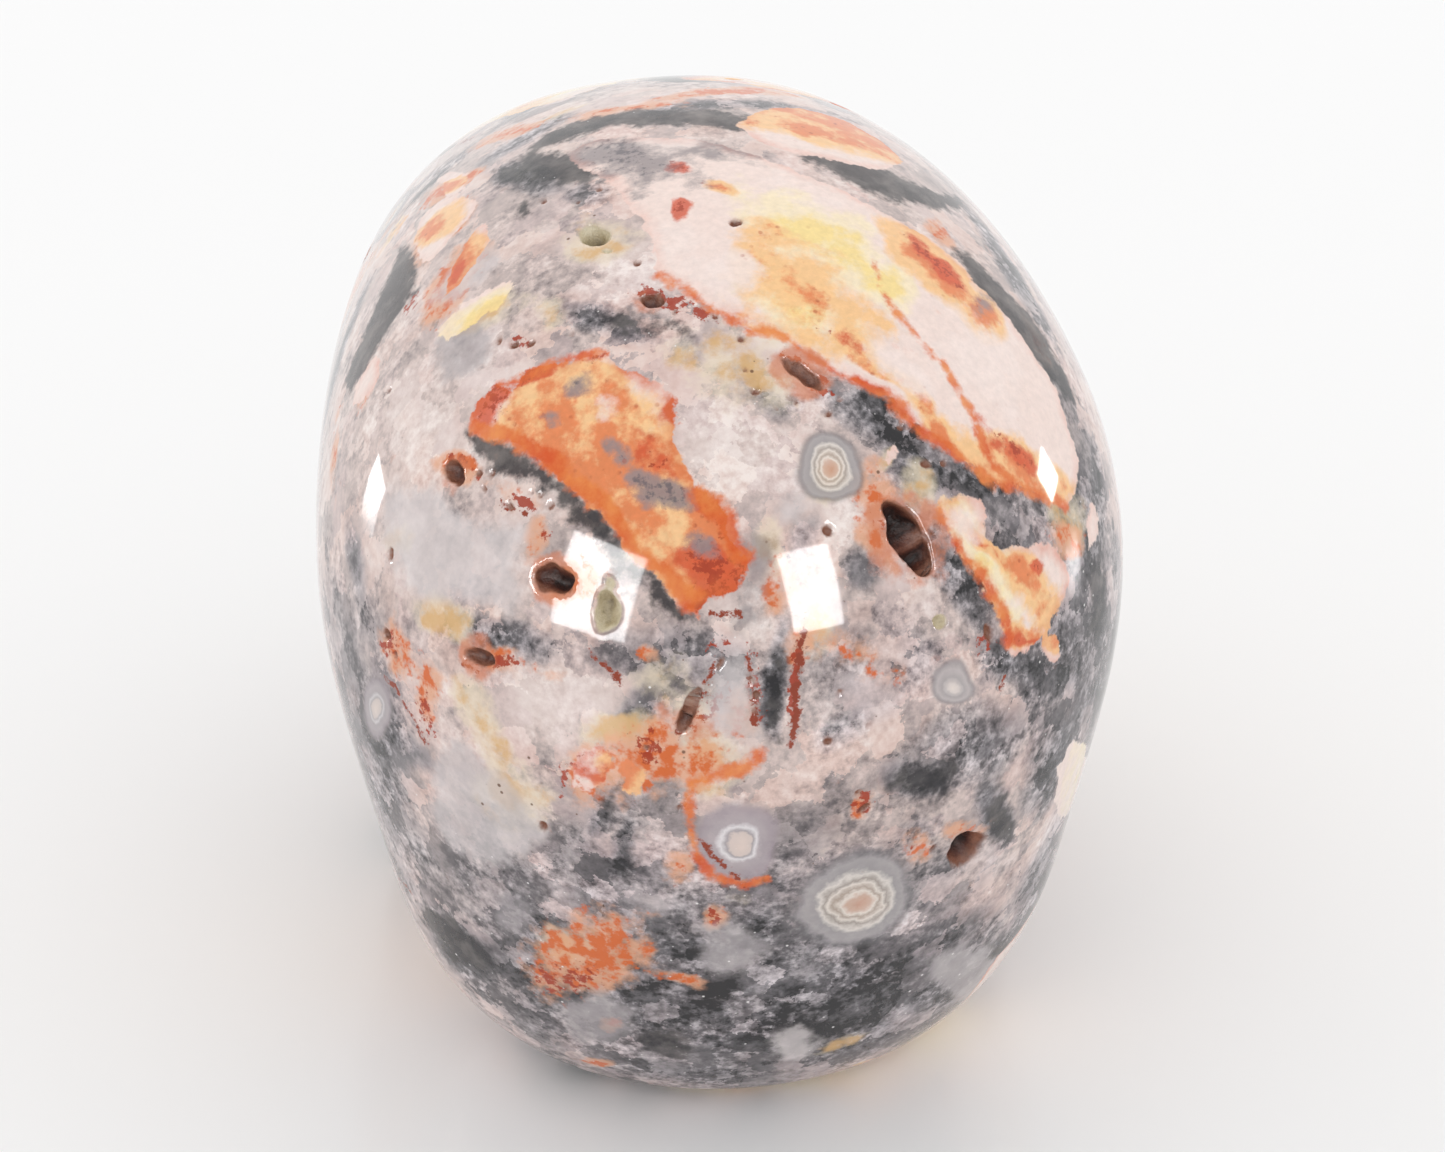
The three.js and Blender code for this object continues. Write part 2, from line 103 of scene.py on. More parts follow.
def join(a: FloatArray, b: FloatArray, fillet: float) -> FloatArray:
    """Joins two distances: their minimum, lowered by h^2 * fillet / 4 where they are alike.

    Args:
        a: Distances to one form.
        b: Distances to the other form.
        fillet: Width of the soft fillet between them.

    Returns:
        Distances to both forms as one.
    """
    h = np.maximum(fillet - np.abs(a - b), 0.0) / fillet
    return np.minimum(a, b) - h * h * fillet / 4.0


def carve(a: FloatArray, b: FloatArray, fillet: float) -> FloatArray:
    """Distances to what is left of a when b is carved away with a softened edge."""
    return -join(-a, b, fillet)


def value_noise(points: FloatArray, seed: int) -> FloatArray:
    """Smooth noise from -1 to 1: a random number at each whole-number corner, blended between them.

    Args:
        points: Places, one noise cell to a unit.
        seed: Picks the set of random numbers.

    Returns:
        One value for each point.
    """
    cell = np.floor(points).astype(np.int64)
    t = points - cell
    t = t * t * (3.0 - 2.0 * t)
    total = np.zeros(len(points))
    for corner in product((0, 1), repeat=3):
        at = cell + np.array(corner)
        mixed = (at[:, 0] * 73856093) ^ (at[:, 1] * 19349663) ^ (at[:, 2] * 83492791) ^ (seed * 974711)
        mixed = (mixed ^ (mixed >> 13)) * 1274126177
        value = ((mixed ^ (mixed >> 16)) & 0xFFFF) / 32767.5 - 1.0
        weight = np.where(np.array(corner) == 1, t, 1.0 - t).prod(axis=1)
        total += weight * value
    return total


def close_to(points: FloatArray, centres: FloatArray, reach: float) -> list[IntArray]:
    """For each centre, which points are close to it, found through cubes as wide as the reach.

    Args:
        points: The points to search.
        centres: Middles of the searches.
        reach: How far to look. A few points a little further off are found too.

    Returns:
        The places of the found points, one array for each centre.
    """
    side = 1 << 12
    weights = np.array([side * side, side, 1])
    keys = (np.floor(points / reach).astype(np.int64) + side // 2) @ weights
    order = np.argsort(keys, kind="stable")
    ordered = keys[order]
    steps = np.array(list(product((-1, 0, 1), (-1, 0, 1), (0,))))
    cells = np.floor(centres / reach).astype(np.int64)[:, None, :] + side // 2 + steps[None]
    first = np.searchsorted(ordered, (cells - (0, 0, 1)) @ weights, side="left")
    last = np.searchsorted(ordered, (cells + (0, 0, 1)) @ weights, side="right")
    return [
        np.concatenate([order[a:b] for a, b in zip(starts, ends)])
        for starts, ends in zip(first, last)
    ]


@dataclass(frozen=True)
class Ellipsoid:
    """A rounded mass or hollow, rolled about Y and then turned about Z, in millimetres and degrees."""

    centre: Triple
    radii: Triple
    yaw: float = 0.0
    roll: float = 0.0

    def local(self, points: FloatArray) -> FloatArray:
        """The points in the ellipsoid's own turned frame."""
        q = points - np.array(self.centre)
        roll = math.radians(self.roll)
        yaw = math.radians(self.yaw)
        x = q[:, 0] * math.cos(roll) + q[:, 2] * math.sin(roll)
        z = -q[:, 0] * math.sin(roll) + q[:, 2] * math.cos(roll)
        turned_x = x * math.cos(yaw) + q[:, 1] * math.sin(yaw)
        turned_y = -x * math.sin(yaw) + q[:, 1] * math.cos(yaw)
        return np.stack([turned_x, turned_y, z], axis=-1)

    def distance(self, points: FloatArray) -> FloatArray:
        """Signed distance k0 * (k0 - 1) / k1, with k0 = |q / r| and k1 = |q / r^2|: exact at the surface."""
        radii = np.array(self.radii)
        q = self.local(points) / radii
        k0 = length(q) + 1e-9
        k1 = length(q / radii) + 1e-9
        return k0 * (k0 - 1.0) / k1

    def squared(self, points: FloatArray, power: float) -> FloatArray:
        """Signed distance to a rounded box: the power-norm of q / r, less one, times the last radius."""
        q = np.abs(self.local(points) / np.array(self.radii))
        return ((q**power).sum(axis=1) ** (1.0 / power) - 1.0) * self.radii[2]


def capsule(points: FloatArray, start: FloatArray, end: FloatArray, radii: tuple[float, float]) -> FloatArray:
    """Distances to a straight round bar whose radius changes evenly from start to end."""
    axis = end - start
    t = np.clip((points - start) @ axis / (axis @ axis), 0.0, 1.0)
    return length(points - start - t[:, None] * axis) - (radii[0] + (radii[1] - radii[0]) * t)


@dataclass(frozen=True)
class Bar:
    """A round bar along the smooth Catmull-Rom curve through its points, in millimetres."""

    points: tuple[Triple, ...]
    radii: tuple[float, ...]
    steps_per_span: int = 3

    def samples(self) -> tuple[FloatArray, FloatArray]:
        """Places and radii along the curve, a few to each span."""
        p = np.array(self.points, dtype=float)
        ends = np.concatenate([[2 * p[0] - p[1]], p, [2 * p[-1] - p[-2]]])
        steps = self.steps_per_span if len(p) > 2 else 1
        t = np.arange(steps)[:, None] / steps
        places = []
        radii = []
        for i in range(len(p) - 1):
            a, b, c, d = ends[i : i + 4]
            curved = (2 * a - 5 * b + 4 * c - d) * t**2 + (3 * b - a - 3 * c + d) * t**3
            places.append(0.5 * (2 * b + (c - a) * t + curved))
            radii.append(self.radii[i] + (self.radii[i + 1] - self.radii[i]) * t[:, 0])
        return np.concatenate([*places, p[-1:]]), np.append(np.concatenate(radii), self.radii[-1])

    def distance(self, points: FloatArray) -> FloatArray:
        """Distances to the nearest of the short straight bars that follow the curve."""
        places, radii = self.samples()
        nearest = np.full(len(points), np.inf)
        for i in range(len(places) - 1):
            gap = capsule(points, places[i], places[i + 1], (radii[i], radii[i + 1]))
            nearest = np.minimum(nearest, gap)
        return nearest


@dataclass(frozen=True)
class ToothRow:
    """Upright round teeth on an elliptical arc, the same on each side of the middle, in millimetres."""

    across: float
    forward: float
    middle_y: float
    from_z: float
    to_z: float
    radius: float
    per_side: int = 5
    spacing: float = 1.94  # tooth middles stand this many radii apart

    def bars(self) -> list[Bar]:
        """One upright bar for each tooth of the +X side, spaced evenly along the arc."""
        angle = np.linspace(0.0, math.pi / 2, 401)
        x = self.across * np.sin(angle)
        y = self.middle_y - self.forward * np.cos(angle)
        travelled = np.concatenate([[0.0], np.cumsum(np.hypot(np.diff(x), np.diff(y)))])
        wanted = (np.arange(self.per_side) + 0.5) * self.spacing * self.radius
        places = zip(np.interp(wanted, travelled, x), np.interp(wanted, travelled, y))
        radii = (self.radius, self.radius)
        return [Bar(((px, py, self.from_z), (px, py, self.to_z)), radii) for px, py in places]


@dataclass(frozen=True)
class Pit:
    """An open pit: its size, and the direction in which it is seen from inside the head.

    The azimuth runs from +Y towards +X, the elevation up from level, and turn lifts the long side up
    from level. Lengths are millimetres and angles are degrees.
    """

    azimuth: float
    elevation: float
    long: float
    wide: float
    deep: float
    turn: float = 0.0
    stain: float = 0.6
    is_sand: bool = False

    def outward(self) -> FloatArray:
        """The pit's direction from inside the head."""
        azimuth = math.radians(self.azimuth)
        elevation = math.radians(self.elevation)
        level = math.cos(elevation)
        return np.array([math.sin(azimuth) * level, math.cos(azimuth) * level, math.sin(elevation)])


@dataclass(frozen=True)
class PlacedPit:
    """A pit at its place on the surface, with the directions of its long, short and deep sides."""

    at: FloatArray
    sides: FloatArray
    radii: FloatArray
    seed: int
    stain: float
    is_sand: bool
    side: float

    def distance(self, points: FloatArray) -> FloatArray:
        """Signed distance to the hollow: an ellipsoid whose wall wanders by a share of its width."""
        q = (points - self.at) @ self.sides.T / self.radii
        k0 = length(q) + 1e-9
        k1 = length(q / self.radii) + 1e-9
        wall = value_noise(points / (0.9 * self.radii[1]) + self.seed, self.seed)
        return k0 * (k0 - 1.0) / k1 + 0.28 * self.radii[1] * wall


@dataclass(frozen=True)
class PhotoEye:
    """Where the photograph was taken from, in millimetres of the carving's own frame."""

    yaw: float = 6.3
    elevation: float = 28.0
    distance: float = 190.0
    focal_pixels: float = 4030.0
    looks_at: Triple = (0.0, 2.0, 20.0)
    # How far the frame's middle lies to the right of and below what the eye looks at.
    frame_right: float = 0.74
    frame_down: float = 0.47

    def back(self) -> FloatArray:
        """The direction from the carving to the eye."""
        yaw = math.radians(self.yaw)
        elevation = math.radians(self.elevation)
        level = math.cos(elevation)
        return np.array([math.sin(yaw) * level, math.cos(yaw) * level, math.sin(elevation)])

    def eye(self) -> FloatArray:
        """The eye's place."""
        return np.array(self.looks_at) + self.back() * self.distance

    def aim(self) -> FloatArray:
        """The place in the middle of the frame."""
        right = unit(np.cross(-self.back(), [0.0, 0.0, 1.0]))
        up = np.cross(right, -self.back())
        return np.array(self.looks_at) + right * self.frame_right - up * self.frame_down

    def axes(self) -> tuple[FloatArray, FloatArray, FloatArray]:
        """The frame's right, up and forward directions."""
        forward = unit(self.aim() - self.eye())
        right = unit(np.cross(forward, [0.0, 0.0, 1.0]))
        return right, np.cross(right, forward), forward

    def pixels(self, points: FloatArray) -> FloatArray:
        """Where the points show in the photograph, in its pixels."""
        right, up, forward = self.axes()
        q = points - self.eye()
        scale = self.focal_pixels / (q @ forward)
        column = PHOTO_WIDTH / 2 + scale * (q @ right)
        row = PHOTO_HEIGHT / 2 - scale * (q @ up)
        return np.stack([column, row], axis=-1)

    def cast(self, pixels: FloatArray, surface: Field) -> FloatArray:
        """The places on a surface that show at the given pixels.

        Args:
            pixels: Columns and rows in the photograph.
            surface: Signed distance to the surface.

        Returns:
            One point for each pixel.
        """
        right, up, forward = self.axes()
        across = (pixels[:, 0] - PHOTO_WIDTH / 2) / self.focal_pixels
        down = (pixels[:, 1] - PHOTO_HEIGHT / 2) / self.focal_pixels
        rays = unit(forward + across[:, None] * right - down[:, None] * up)
        travelled = np.full(len(pixels), self.distance - 45.0)
        for _ in range(60):
            travelled += np.clip(surface(self.eye() + rays * travelled[:, None]), -1.0, 8.0)
        return self.eye() + rays * travelled[:, None]


@dataclass(frozen=True)
class PhotoPit:
    """A small pit, placed by the pixel of the photograph that shows it. Its size is in pixels."""

    at: Pixel
    long: float
    wide: float
    turn: float = 0.0
    stain: float = 0.25
    is_sand: bool = False


# Small open pits on the back of the head.
PHOTO_PITS = (
    PhotoPit((606, 250), 14, 6, -10, is_sand=True),
    PhotoPit((610, 585), 9, 15, 0, 0.0, is_sand=True),
    PhotoPit((940, 623), 15, 16, 0, 0.0, is_sand=True),
    PhotoPit((637, 263), 8, 7),
    PhotoPit((599, 189), 7, 6),
    PhotoPit((544, 201), 7, 6),
    PhotoPit((578, 202), 5, 5),
    PhotoPit((736, 222), 15, 11),
    PhotoPit((514, 345), 12, 9, 20),
    PhotoPit((531, 343), 10, 6, 40),
    PhotoPit((499, 340), 11, 5, -70),
    PhotoPit((572, 334), 5, 5),
    PhotoPit((479, 473), 8, 7),
    PhotoPit((492, 474), 12, 4, 80),
    PhotoPit((484, 488), 10, 4, -40),
    PhotoPit((388, 391), 10, 4, 35),
    PhotoPit((551, 506), 9, 6, 80),
    PhotoPit((541, 495), 7, 4, 60),
    PhotoPit((532, 492), 6, 4, 60),
    PhotoPit((510, 506), 12, 5, -45),
    PhotoPit((390, 554), 8, 13, 0),
    PhotoPit((386, 634), 14, 11, -40),
    PhotoPit((395, 655), 10, 5, -70),
    PhotoPit((658, 293), 7, 4),
    PhotoPit((674, 312), 6, 5),
    PhotoPit((715, 316), 7, 6),
    PhotoPit((741, 339), 8, 7),
    PhotoPit((829, 414), 9, 6, 40),
    PhotoPit((840, 399), 7, 5),
    PhotoPit((796, 402), 6, 5),
    PhotoPit((776, 408), 4, 4),
    PhotoPit((745, 370), 5, 4),
    PhotoPit((755, 392), 9, 6),
    PhotoPit((901, 427), 8, 6),
    PhotoPit((926, 464), 12, 9, -20),
    PhotoPit((944, 463), 8, 6, 20),
    PhotoPit((828, 531), 12, 9, -35),
    PhotoPit((989, 634), 22, 9, -80),
    PhotoPit((720, 664), 15, 5, 60),
    PhotoPit((751, 679), 17, 4, -60),
    PhotoPit((757, 695), 8, 8),
    PhotoPit((755, 712), 9, 4, -80),
    PhotoPit((840, 692), 6, 5),
    PhotoPit((828, 742), 10, 8),
    PhotoPit((864, 809), 18, 7, 40),
    PhotoPit((858, 793), 8, 5, 30),
    PhotoPit((933, 849), 12, 5, 60),
    PhotoPit((543, 827), 14, 9, 80),
    PhotoPit((646, 748), 7, 6),
    PhotoPit((679, 808), 8, 5, 50),
    PhotoPit((789, 398), 5, 4),
    PhotoPit((869, 724), 8, 3, 60),
)


@dataclass
class Carving:
    """The carved skull as one distance field: its masses, hollows, teeth and pits, in millimetres."""

    inside: Triple = (0.0, 1.0, 19.0)
    reach: float = 46.0
    back_of_head: Ellipsoid = Ellipsoid((0, 9.3, 24.3), (17.2, 17.4, 14.9))
    forehead: Ellipsoid = Ellipsoid((0, -11.9, 24.5), (12.0, 12.6, 12.7))
    nape: Ellipsoid = Ellipsoid((0, 9.7, 8.2), (13.6, 10.1, 10.5))
    crown: Ellipsoid = Ellipsoid((0, 1.4, 25.3), (15.6, 18.6, 16.0))
    forehead_middle: float = 0.8
    forehead_flatness: float = 3.4
    face_block: Ellipsoid = Ellipsoid((0, -14.4, 13.0), (11.4, 9.6, 12.6))
    palate_block: Ellipsoid = Ellipsoid((0, -7.0, 4.0), (12.4, 15.2, 13.0))
    upper_jaw: Ellipsoid = Ellipsoid((0, -18.4, 9.4), (7.8, 6.2, 5.0))
    chin: Ellipsoid = Ellipsoid((0, -22.9, 2.2), (4.0, 2.5, 2.4))
    temple: Ellipsoid = Ellipsoid((17.2, -11.6, 21.4), (4.4, 7.6, 5.4), yaw=-12)
    cheek: Ellipsoid = Ellipsoid((16.2, -11.4, 8.7), (4.9, 5.6, 4.3))
    brow: Bar = Bar(
        (
            (0.8, -22.9, 24.4),
            (4.6, -23.2, 25.8),
            (9.0, -21.7, 25.9),
            (12.6, -18.0, 23.4),
            (12.7, -17.7, 19.4),
            (11.4, -18.9, 15.2),
        ),
        (1.5, 1.9, 1.9, 1.7, 1.6, 1.8),
    )
    cheekbone: Bar = Bar(
        ((9.0, -20.3, 13.6), (12.3, -18.1, 14.2), (15.0, -12.4, 14.9), (16.2, -6.0, 15.9), (15.4, 1.3, 17.2)),
        (2.1, 2.4, 1.8, 1.5, 1.5),
    )
    lower_jaw: Bar = Bar(
        ((0, -22.2, 2.3), (5.4, -21.0, 2.4), (10.5, -13.8, 2.8), (13.3, -6.0, 4.2), (14.1, -3.0, 12.6)),
        (2.5, 2.5, 2.3, 2.6, 2.1),
    )
    groove_behind_jaw: Bar = Bar(((16.0, 0.9, 0.5), (17.0, 1.3, 6.0), (18.4, 1.2, 12.0)), (2.2, 2.2, 1.7))
    nose_bridge: Bar = Bar(((0, -23.1, 23.4), (0, -25.1, 18.6)), (1.5, 1.35))
    nose_partition: Bar = Bar(((0, -21.8, 11.4), (0, -21.6, 16.4)), (0.5, 0.35))
    eye_socket: Ellipsoid = Ellipsoid((6.95, -24.0, 19.7), (4.95, 6.9, 4.6), yaw=-16, roll=12)
    eye_socket_squareness: float = 2.5
    nostril: Ellipsoid = Ellipsoid((1.5, -24.4, 12.9), (1.7, 3.9, 2.0))
    nose_top: Ellipsoid = Ellipsoid((0.3, -24.6, 15.7), (1.65, 3.9, 3.2))
    upper_teeth: ToothRow = ToothRow(7.6, 6.3, -18.4, 7.2, 9.0, 0.98)
    lower_teeth: ToothRow = ToothRow(7.0, 5.9, -18.5, 4.2, 5.25, 0.88)
    large_pits: tuple[Pit, ...] = (
        Pit(-15.3, 29.7, long=3.6, wide=1.4, deep=1.5, turn=-70, stain=0.8),
        Pit(-22.3, -5.7, long=2.6, wide=1.7, deep=1.0, turn=-63, stain=0.35),
        Pit(21.7, 26.9, long=1.9, wide=1.2, deep=0.8, turn=-3, stain=1.0),
        Pit(33.3, 64.2, long=1.7, wide=1.1, deep=0.7, turn=-22, stain=0.0, is_sand=True),
        Pit(37.6, 35.0, long=1.4, wide=0.8, deep=0.5, turn=-28, stain=0.8),
        Pit(15.3, 55.5, long=1.1, wide=0.7, deep=0.5, turn=-14),
        Pit(16.0, 24.6, long=1.8, wide=1.1, deep=0.6, turn=-89, stain=0.0, is_sand=True),
        Pit(29.5, 18.2, long=1.7, wide=0.7, deep=0.5, turn=3, stain=1.0),
        Pit(-7.0, 46.6, long=2.2, wide=0.7, deep=0.4, turn=-49, stain=1.0),
        Pit(7.8, 15.8, long=2.3, wide=0.6, deep=0.5, turn=68),
        Pit(152, 41, long=2.2, wide=1.2, deep=0.8, turn=35),
        Pit(-118, 38, long=1.8, wide=1.1, deep=0.7, turn=-50),
    )
    pit_fillet: float = 0.16
    face_fillet: float = 4.0
    palate_fillet: float = 3.0
    temple_fillet: float = 4.0
    cheek_fillet: float = 3.0
    bar_fillet: float = 2.4
    jaw_fillet: float = 2.0
    chin_fillet: float = 1.8
    socket_fillet: float = 0.9
    nose_fillet: float = 0.7
    tooth_fillet: float = 0.4
    base_fillet: float = 1.6
    eye: PhotoEye = PhotoEye()
    pits: list[PlacedPit] = field(default_factory=list)

    def braincase(self, points: FloatArray) -> FloatArray:
        """Distances to the smooth braincase: back of the head, forehead, nape and crown."""
        flattened = points.copy()
        off_middle = points[:, 0] - self.forehead_middle
        flattened[:, 0] = np.hypot(off_middle, self.forehead_flatness) - self.forehead_flatness
        d = join(self.back_of_head.distance(points), self.forehead.distance(flattened), 10.5)
        d = join(d, self.nape.distance(points), 14.0)
        return join(d, self.crown.distance(points), 8.0)

    def face(self, points: FloatArray, d: FloatArray) -> FloatArray:
        """Adds the carved face to the braincase's distances.

        Args:
            points: Places near the face, mirrored to the +X side.
            d: The braincase's distances there.

        Returns:
            Distances to the braincase with its face.
        """
        d = join(d, self.face_block.distance(points), self.face_fillet)
        d = join(d, self.palate_block.distance(points), self.palate_fillet)
        d = carve(d, self.temple.distance(points), self.temple_fillet)
        d = carve(d, self.cheek.distance(points), self.cheek_fillet)
        d = join(d, self.brow.distance(points), self.bar_fillet)
        d = join(d, self.cheekbone.distance(points), self.bar_fillet)
        d = join(d, self.upper_jaw.distance(points), self.jaw_fillet)
        d = join(d, self.lower_jaw.distance(points), self.jaw_fillet)
        d = join(d, self.chin.distance(points), self.chin_fillet)
        d = carve(d, self.groove_behind_jaw.distance(points), self.bar_fillet)
        d = join(d, self.nose_bridge.distance(points), self.jaw_fillet)
        d = carve(d, self.eye_socket.squared(points, self.eye_socket_squareness), self.socket_fillet)
        nose = join(self.nostril.distance(points), self.nose_top.distance(points), self.nose_fillet)
        d = carve(d, nose, self.nose_fillet)
        d = join(d, self.nose_partition.distance(points), self.nose_fillet)
        near = (points[:, 1] < -14.0) & (points[:, 2] < 12.0)
        if near.any():
            teeth = [tooth.distance(points[near]) for row in (self.upper_teeth, self.lower_teeth) for tooth in row.bars()]
            d[near] = join(d[near], np.minimum.reduce(teeth), self.tooth_fillet)
        return d

    def whole(self, points: FloatArray) -> FloatArray:
        """Distances to the carving as it would be with no pits."""
        d = self.braincase(points)
        near = (points[:, 1] < 10.0) & (points[:, 2] < 31.0)
        if near.any():
            mirrored = points[near] * np.array([1.0, 1.0, 1.0])
            mirrored[:, 0] = np.abs(mirrored[:, 0])
            d[near] = self.face(mirrored, d[near])
        return carve(d, points[:, 2], self.base_fillet)

    def stone(self, points: FloatArray) -> FloatArray:
        """Distances to the carving with its pits."""
        d = self.whole(points)
        for pit, near in zip(self.pits, close_to(points, np.array([pit.at for pit in self.pits]), 3.6)):
            near = near[length(points[near] - pit.at) < 1.8 * pit.radii[0] + 0.8]
            if len(near):
                d[near] = carve(d[near], pit.distance(points[near]), self.pit_fillet)
        return d

    def probe(self, points: FloatArray, surface: Field) -> tuple[FloatArray, FloatArray]:
        """Distances and outward directions, from four samples around each point.

        Args:
            points: Places near the surface.
            surface: Signed distance to it.

        Returns:
            The samples' mean, and the direction in which they grow.
        """
        step = 0.02
        corners = np.array([(1, 1, 1), (1, -1, -1), (-1, 1, -1), (-1, -1, 1)], dtype=float)
        values = [surface(points + corner * step) for corner in corners]
        slope = sum(value[:, None] * corner for value, corner in zip(values, corners))
        return np.mean(values, axis=0), unit(slope)

    def reach_out(self, rays: FloatArray) -> FloatArray:
        """Where rays from inside the head leave the whole carving."""
        travelled = np.full(len(rays), self.reach)
        for _ in range(60):
            gap = self.whole(np.array(self.inside) + rays * travelled[:, None])
            travelled -= np.clip(gap * 0.8, -1.0, 4.0)
        return np.array(self.inside) + rays * travelled[:, None]

    def place(self, at: FloatArray, radii: FloatArray, pit: Pit | PhotoPit, side: float = 0.2) -> None:
        """Sets a pit on the surface.

        Args:
            at: Its place.
            radii: Its long, short and deep radii.
            pit: What else is known of it.
            side: How long the triangles' sides may be there, in millimetres.
        """
        outward = unit(at - np.array(self.inside))
        level = unit(np.cross([0.0, 0.0, 1.0], outward))
        upward = np.cross(outward, level)
        turn = math.radians(pit.turn)
        along = level * math.cos(turn) + upward * math.sin(turn)
        sides = np.stack([along, np.cross(outward, along), outward])
        self.pits.append(PlacedPit(at, sides, radii, len(self.pits) + 1, pit.stain, pit.is_sand, side))

    def open_pits(self, hidden_count: int, rng: np.random.Generator) -> None:
        """Places the large pits, the photographed small ones, and random small ones where none show."""
        outward = np.array([pit.outward() for pit in self.large_pits])
        for pit, at in zip(self.large_pits, self.reach_out(outward)):
            self.place(at, np.array([pit.long / 2, pit.wide / 2, pit.deep]), pit)
        pixels_per_mm = self.eye.focal_pixels / (self.eye.distance - 25.0)
        at_pixels = np.array([pit.at for pit in PHOTO_PITS], dtype=float)
        for pit, at in zip(PHOTO_PITS, self.eye.cast(at_pixels, self.whole)):
            half = np.array([pit.long, pit.wide]) / 2 / pixels_per_mm
            self.place(at, np.append(half, 0.9 * half.min() + 0.08), pit)
        rays = unit(rng.normal(size=(hidden_count, 3)))
        rays = rays[(rays @ self.eye.back() < 0.1) & (rays[:, 2] > -0.5)]
        for at in self.reach_out(rays):
            half = 0.1 + 0.28 * rng.random() ** 2
            radii = np.array([half * (1.0 + rng.random()), half, 0.9 * half])
            looks = PhotoPit((0, 0), 0, 0, 360.0 * rng.random(), 0.5 * rng.random(), rng.random() < 0.3)
            self.place(at, radii, looks, side=0.3)


@dataclass
class Surface:
    """A closed triangle mesh that settles on a distance field."""

    points: FloatArray
    triangles: IntArray

    def edges(self) -> tuple[IntArray, IntArray]:
        """Every edge once, and the three edges of each triangle."""
        t = self.triangles
        sides = np.sort(np.concatenate([t[:, [0, 1]], t[:, [1, 2]], t[:, [2, 0]]]), axis=1)
        keys = sides[:, 0] * len(self.points) + sides[:, 1]
        unique, inverse = np.unique(keys, return_inverse=True)
        pairs = np.stack([unique // len(self.points), unique % len(self.points)], axis=1)
        return pairs, inverse.reshape(3, -1).T

    def split(self, is_long: Callable[[FloatArray, FloatArray], npt.NDArray[np.bool_]]) -> slice:
        """Splits long edges in two: a triangle becomes two, three or four.

        Args:
            is_long: Says which edges to split, from their ends.

        Returns:
            The new points' range.
        """
        pairs, of_triangle = self.edges()
        chosen = np.nonzero(is_long(self.points[pairs[:, 0]], self.points[pairs[:, 1]]))[0]
        middle_of = np.full(len(pairs), -1)
        middle_of[chosen] = len(self.points) + np.arange(len(chosen))
        first_new = len(self.points)
        self.points = np.concatenate([self.points, self.points[pairs[chosen]].mean(axis=1)])
        middles = middle_of[of_triangle]
        has = middles >= 0
        count = has.sum(axis=1)
        parts = [self.triangles[count == 0]]
        for k in range(3):
            corners = np.roll(self.triangles, -k, axis=1)
            ends = np.roll(middles, -k, axis=1)
            here = np.roll(has, -k, axis=1)
            one = (count == 1) & here[:, 0]
            a, b, c = corners[one].T
            ab = ends[one, 0]
            parts += [np.stack([a, ab, c], 1), np.stack([ab, b, c], 1)]
            two = (count == 2) & here[:, 0] & here[:, 1]
            a, b, c = corners[two].T
            ab, bc = ends[two, 0], ends[two, 1]
            parts += [np.stack([ab, b, bc], 1), np.stack([a, ab, bc], 1), np.stack([a, bc, c], 1)]
        a, b, c = self.triangles[count == 3].T
        ab, bc, ca = middles[count == 3].T
        parts += [np.stack([a, ab, ca], 1), np.stack([ab, b, bc], 1)]
        parts += [np.stack([ca, bc, c], 1), np.stack([ab, bc, ca], 1)]
        self.triangles = np.concatenate(parts)
        return slice(first_new, len(self.points))

    def flip(self) -> None:
        """Turns the shared side of two triangles where the other diagonal makes fatter triangles.

        A side is turned where the two angles that face it add up to more than half a turn. No
        triangle takes part twice, so of each triangle's candidates only the widest stays.
        """
        t = self.triangles
        size = len(self.points)
        start = np.concatenate([t[:, 0], t[:, 1], t[:, 2]])
        end = np.concatenate([t[:, 1], t[:, 2], t[:, 0]])
        facing = np.concatenate([t[:, 2], t[:, 0], t[:, 1]])
        owner = np.tile(np.arange(len(t)), 3)
        forward = start * size + end
        order = np.argsort(forward)
        twin = order[np.searchsorted(forward, end * size + start, sorter=order)]
        one = np.nonzero(start < end)[0]
        other = twin[one]
        a, b, c, d = start[one], end[one], facing[one], facing[other]
        p = self.points
        wide = np.zeros(len(one))
        for tip in (c, d):
            u = unit(p[a] - p[tip])
            v = unit(p[b] - p[tip])
            wide += np.arccos(np.clip((u * v).sum(axis=1), -1.0, 1.0))
        old = [unit(np.cross(p[b] - p[a], p[c] - p[a])), unit(np.cross(p[a] - p[b], p[d] - p[b]))]
        new = [unit(np.cross(p[d] - p[a], p[c] - p[a])), unit(np.cross(p[b] - p[d], p[c] - p[d]))]
        is_flat = ((old[0] * old[1]).sum(axis=1) > 0.5) & ((new[0] * new[1]).sum(axis=1) > 0.5)
        is_free = ~np.isin(np.minimum(c, d) * size + np.maximum(c, d), forward)
        is_free &= ~np.isin(np.maximum(c, d) * size + np.minimum(c, d), forward)
        wide[~(is_flat & is_free)] = 0.0
        best = np.zeros(len(t))
        np.maximum.at(best, owner[one], wide)
        np.maximum.at(best, owner[other], wide)
        keep = (wide > math.pi + 0.01) & (wide >= best[owner[one]]) & (wide >= best[owner[other]])
        new_sides = np.minimum(c, d) * size + np.maximum(c, d)
        _, first = np.unique(np.where(keep, new_sides, -1 - np.arange(len(one))), return_index=True)
        is_first = np.zeros(len(one), dtype=bool)
        is_first[first] = True
        keep &= is_first
        self.triangles[owner[one[keep]]] = np.stack([a, d, c], 1)[keep]
        self.triangles[owner[other[keep]]] = np.stack([d, b, c], 1)[keep]

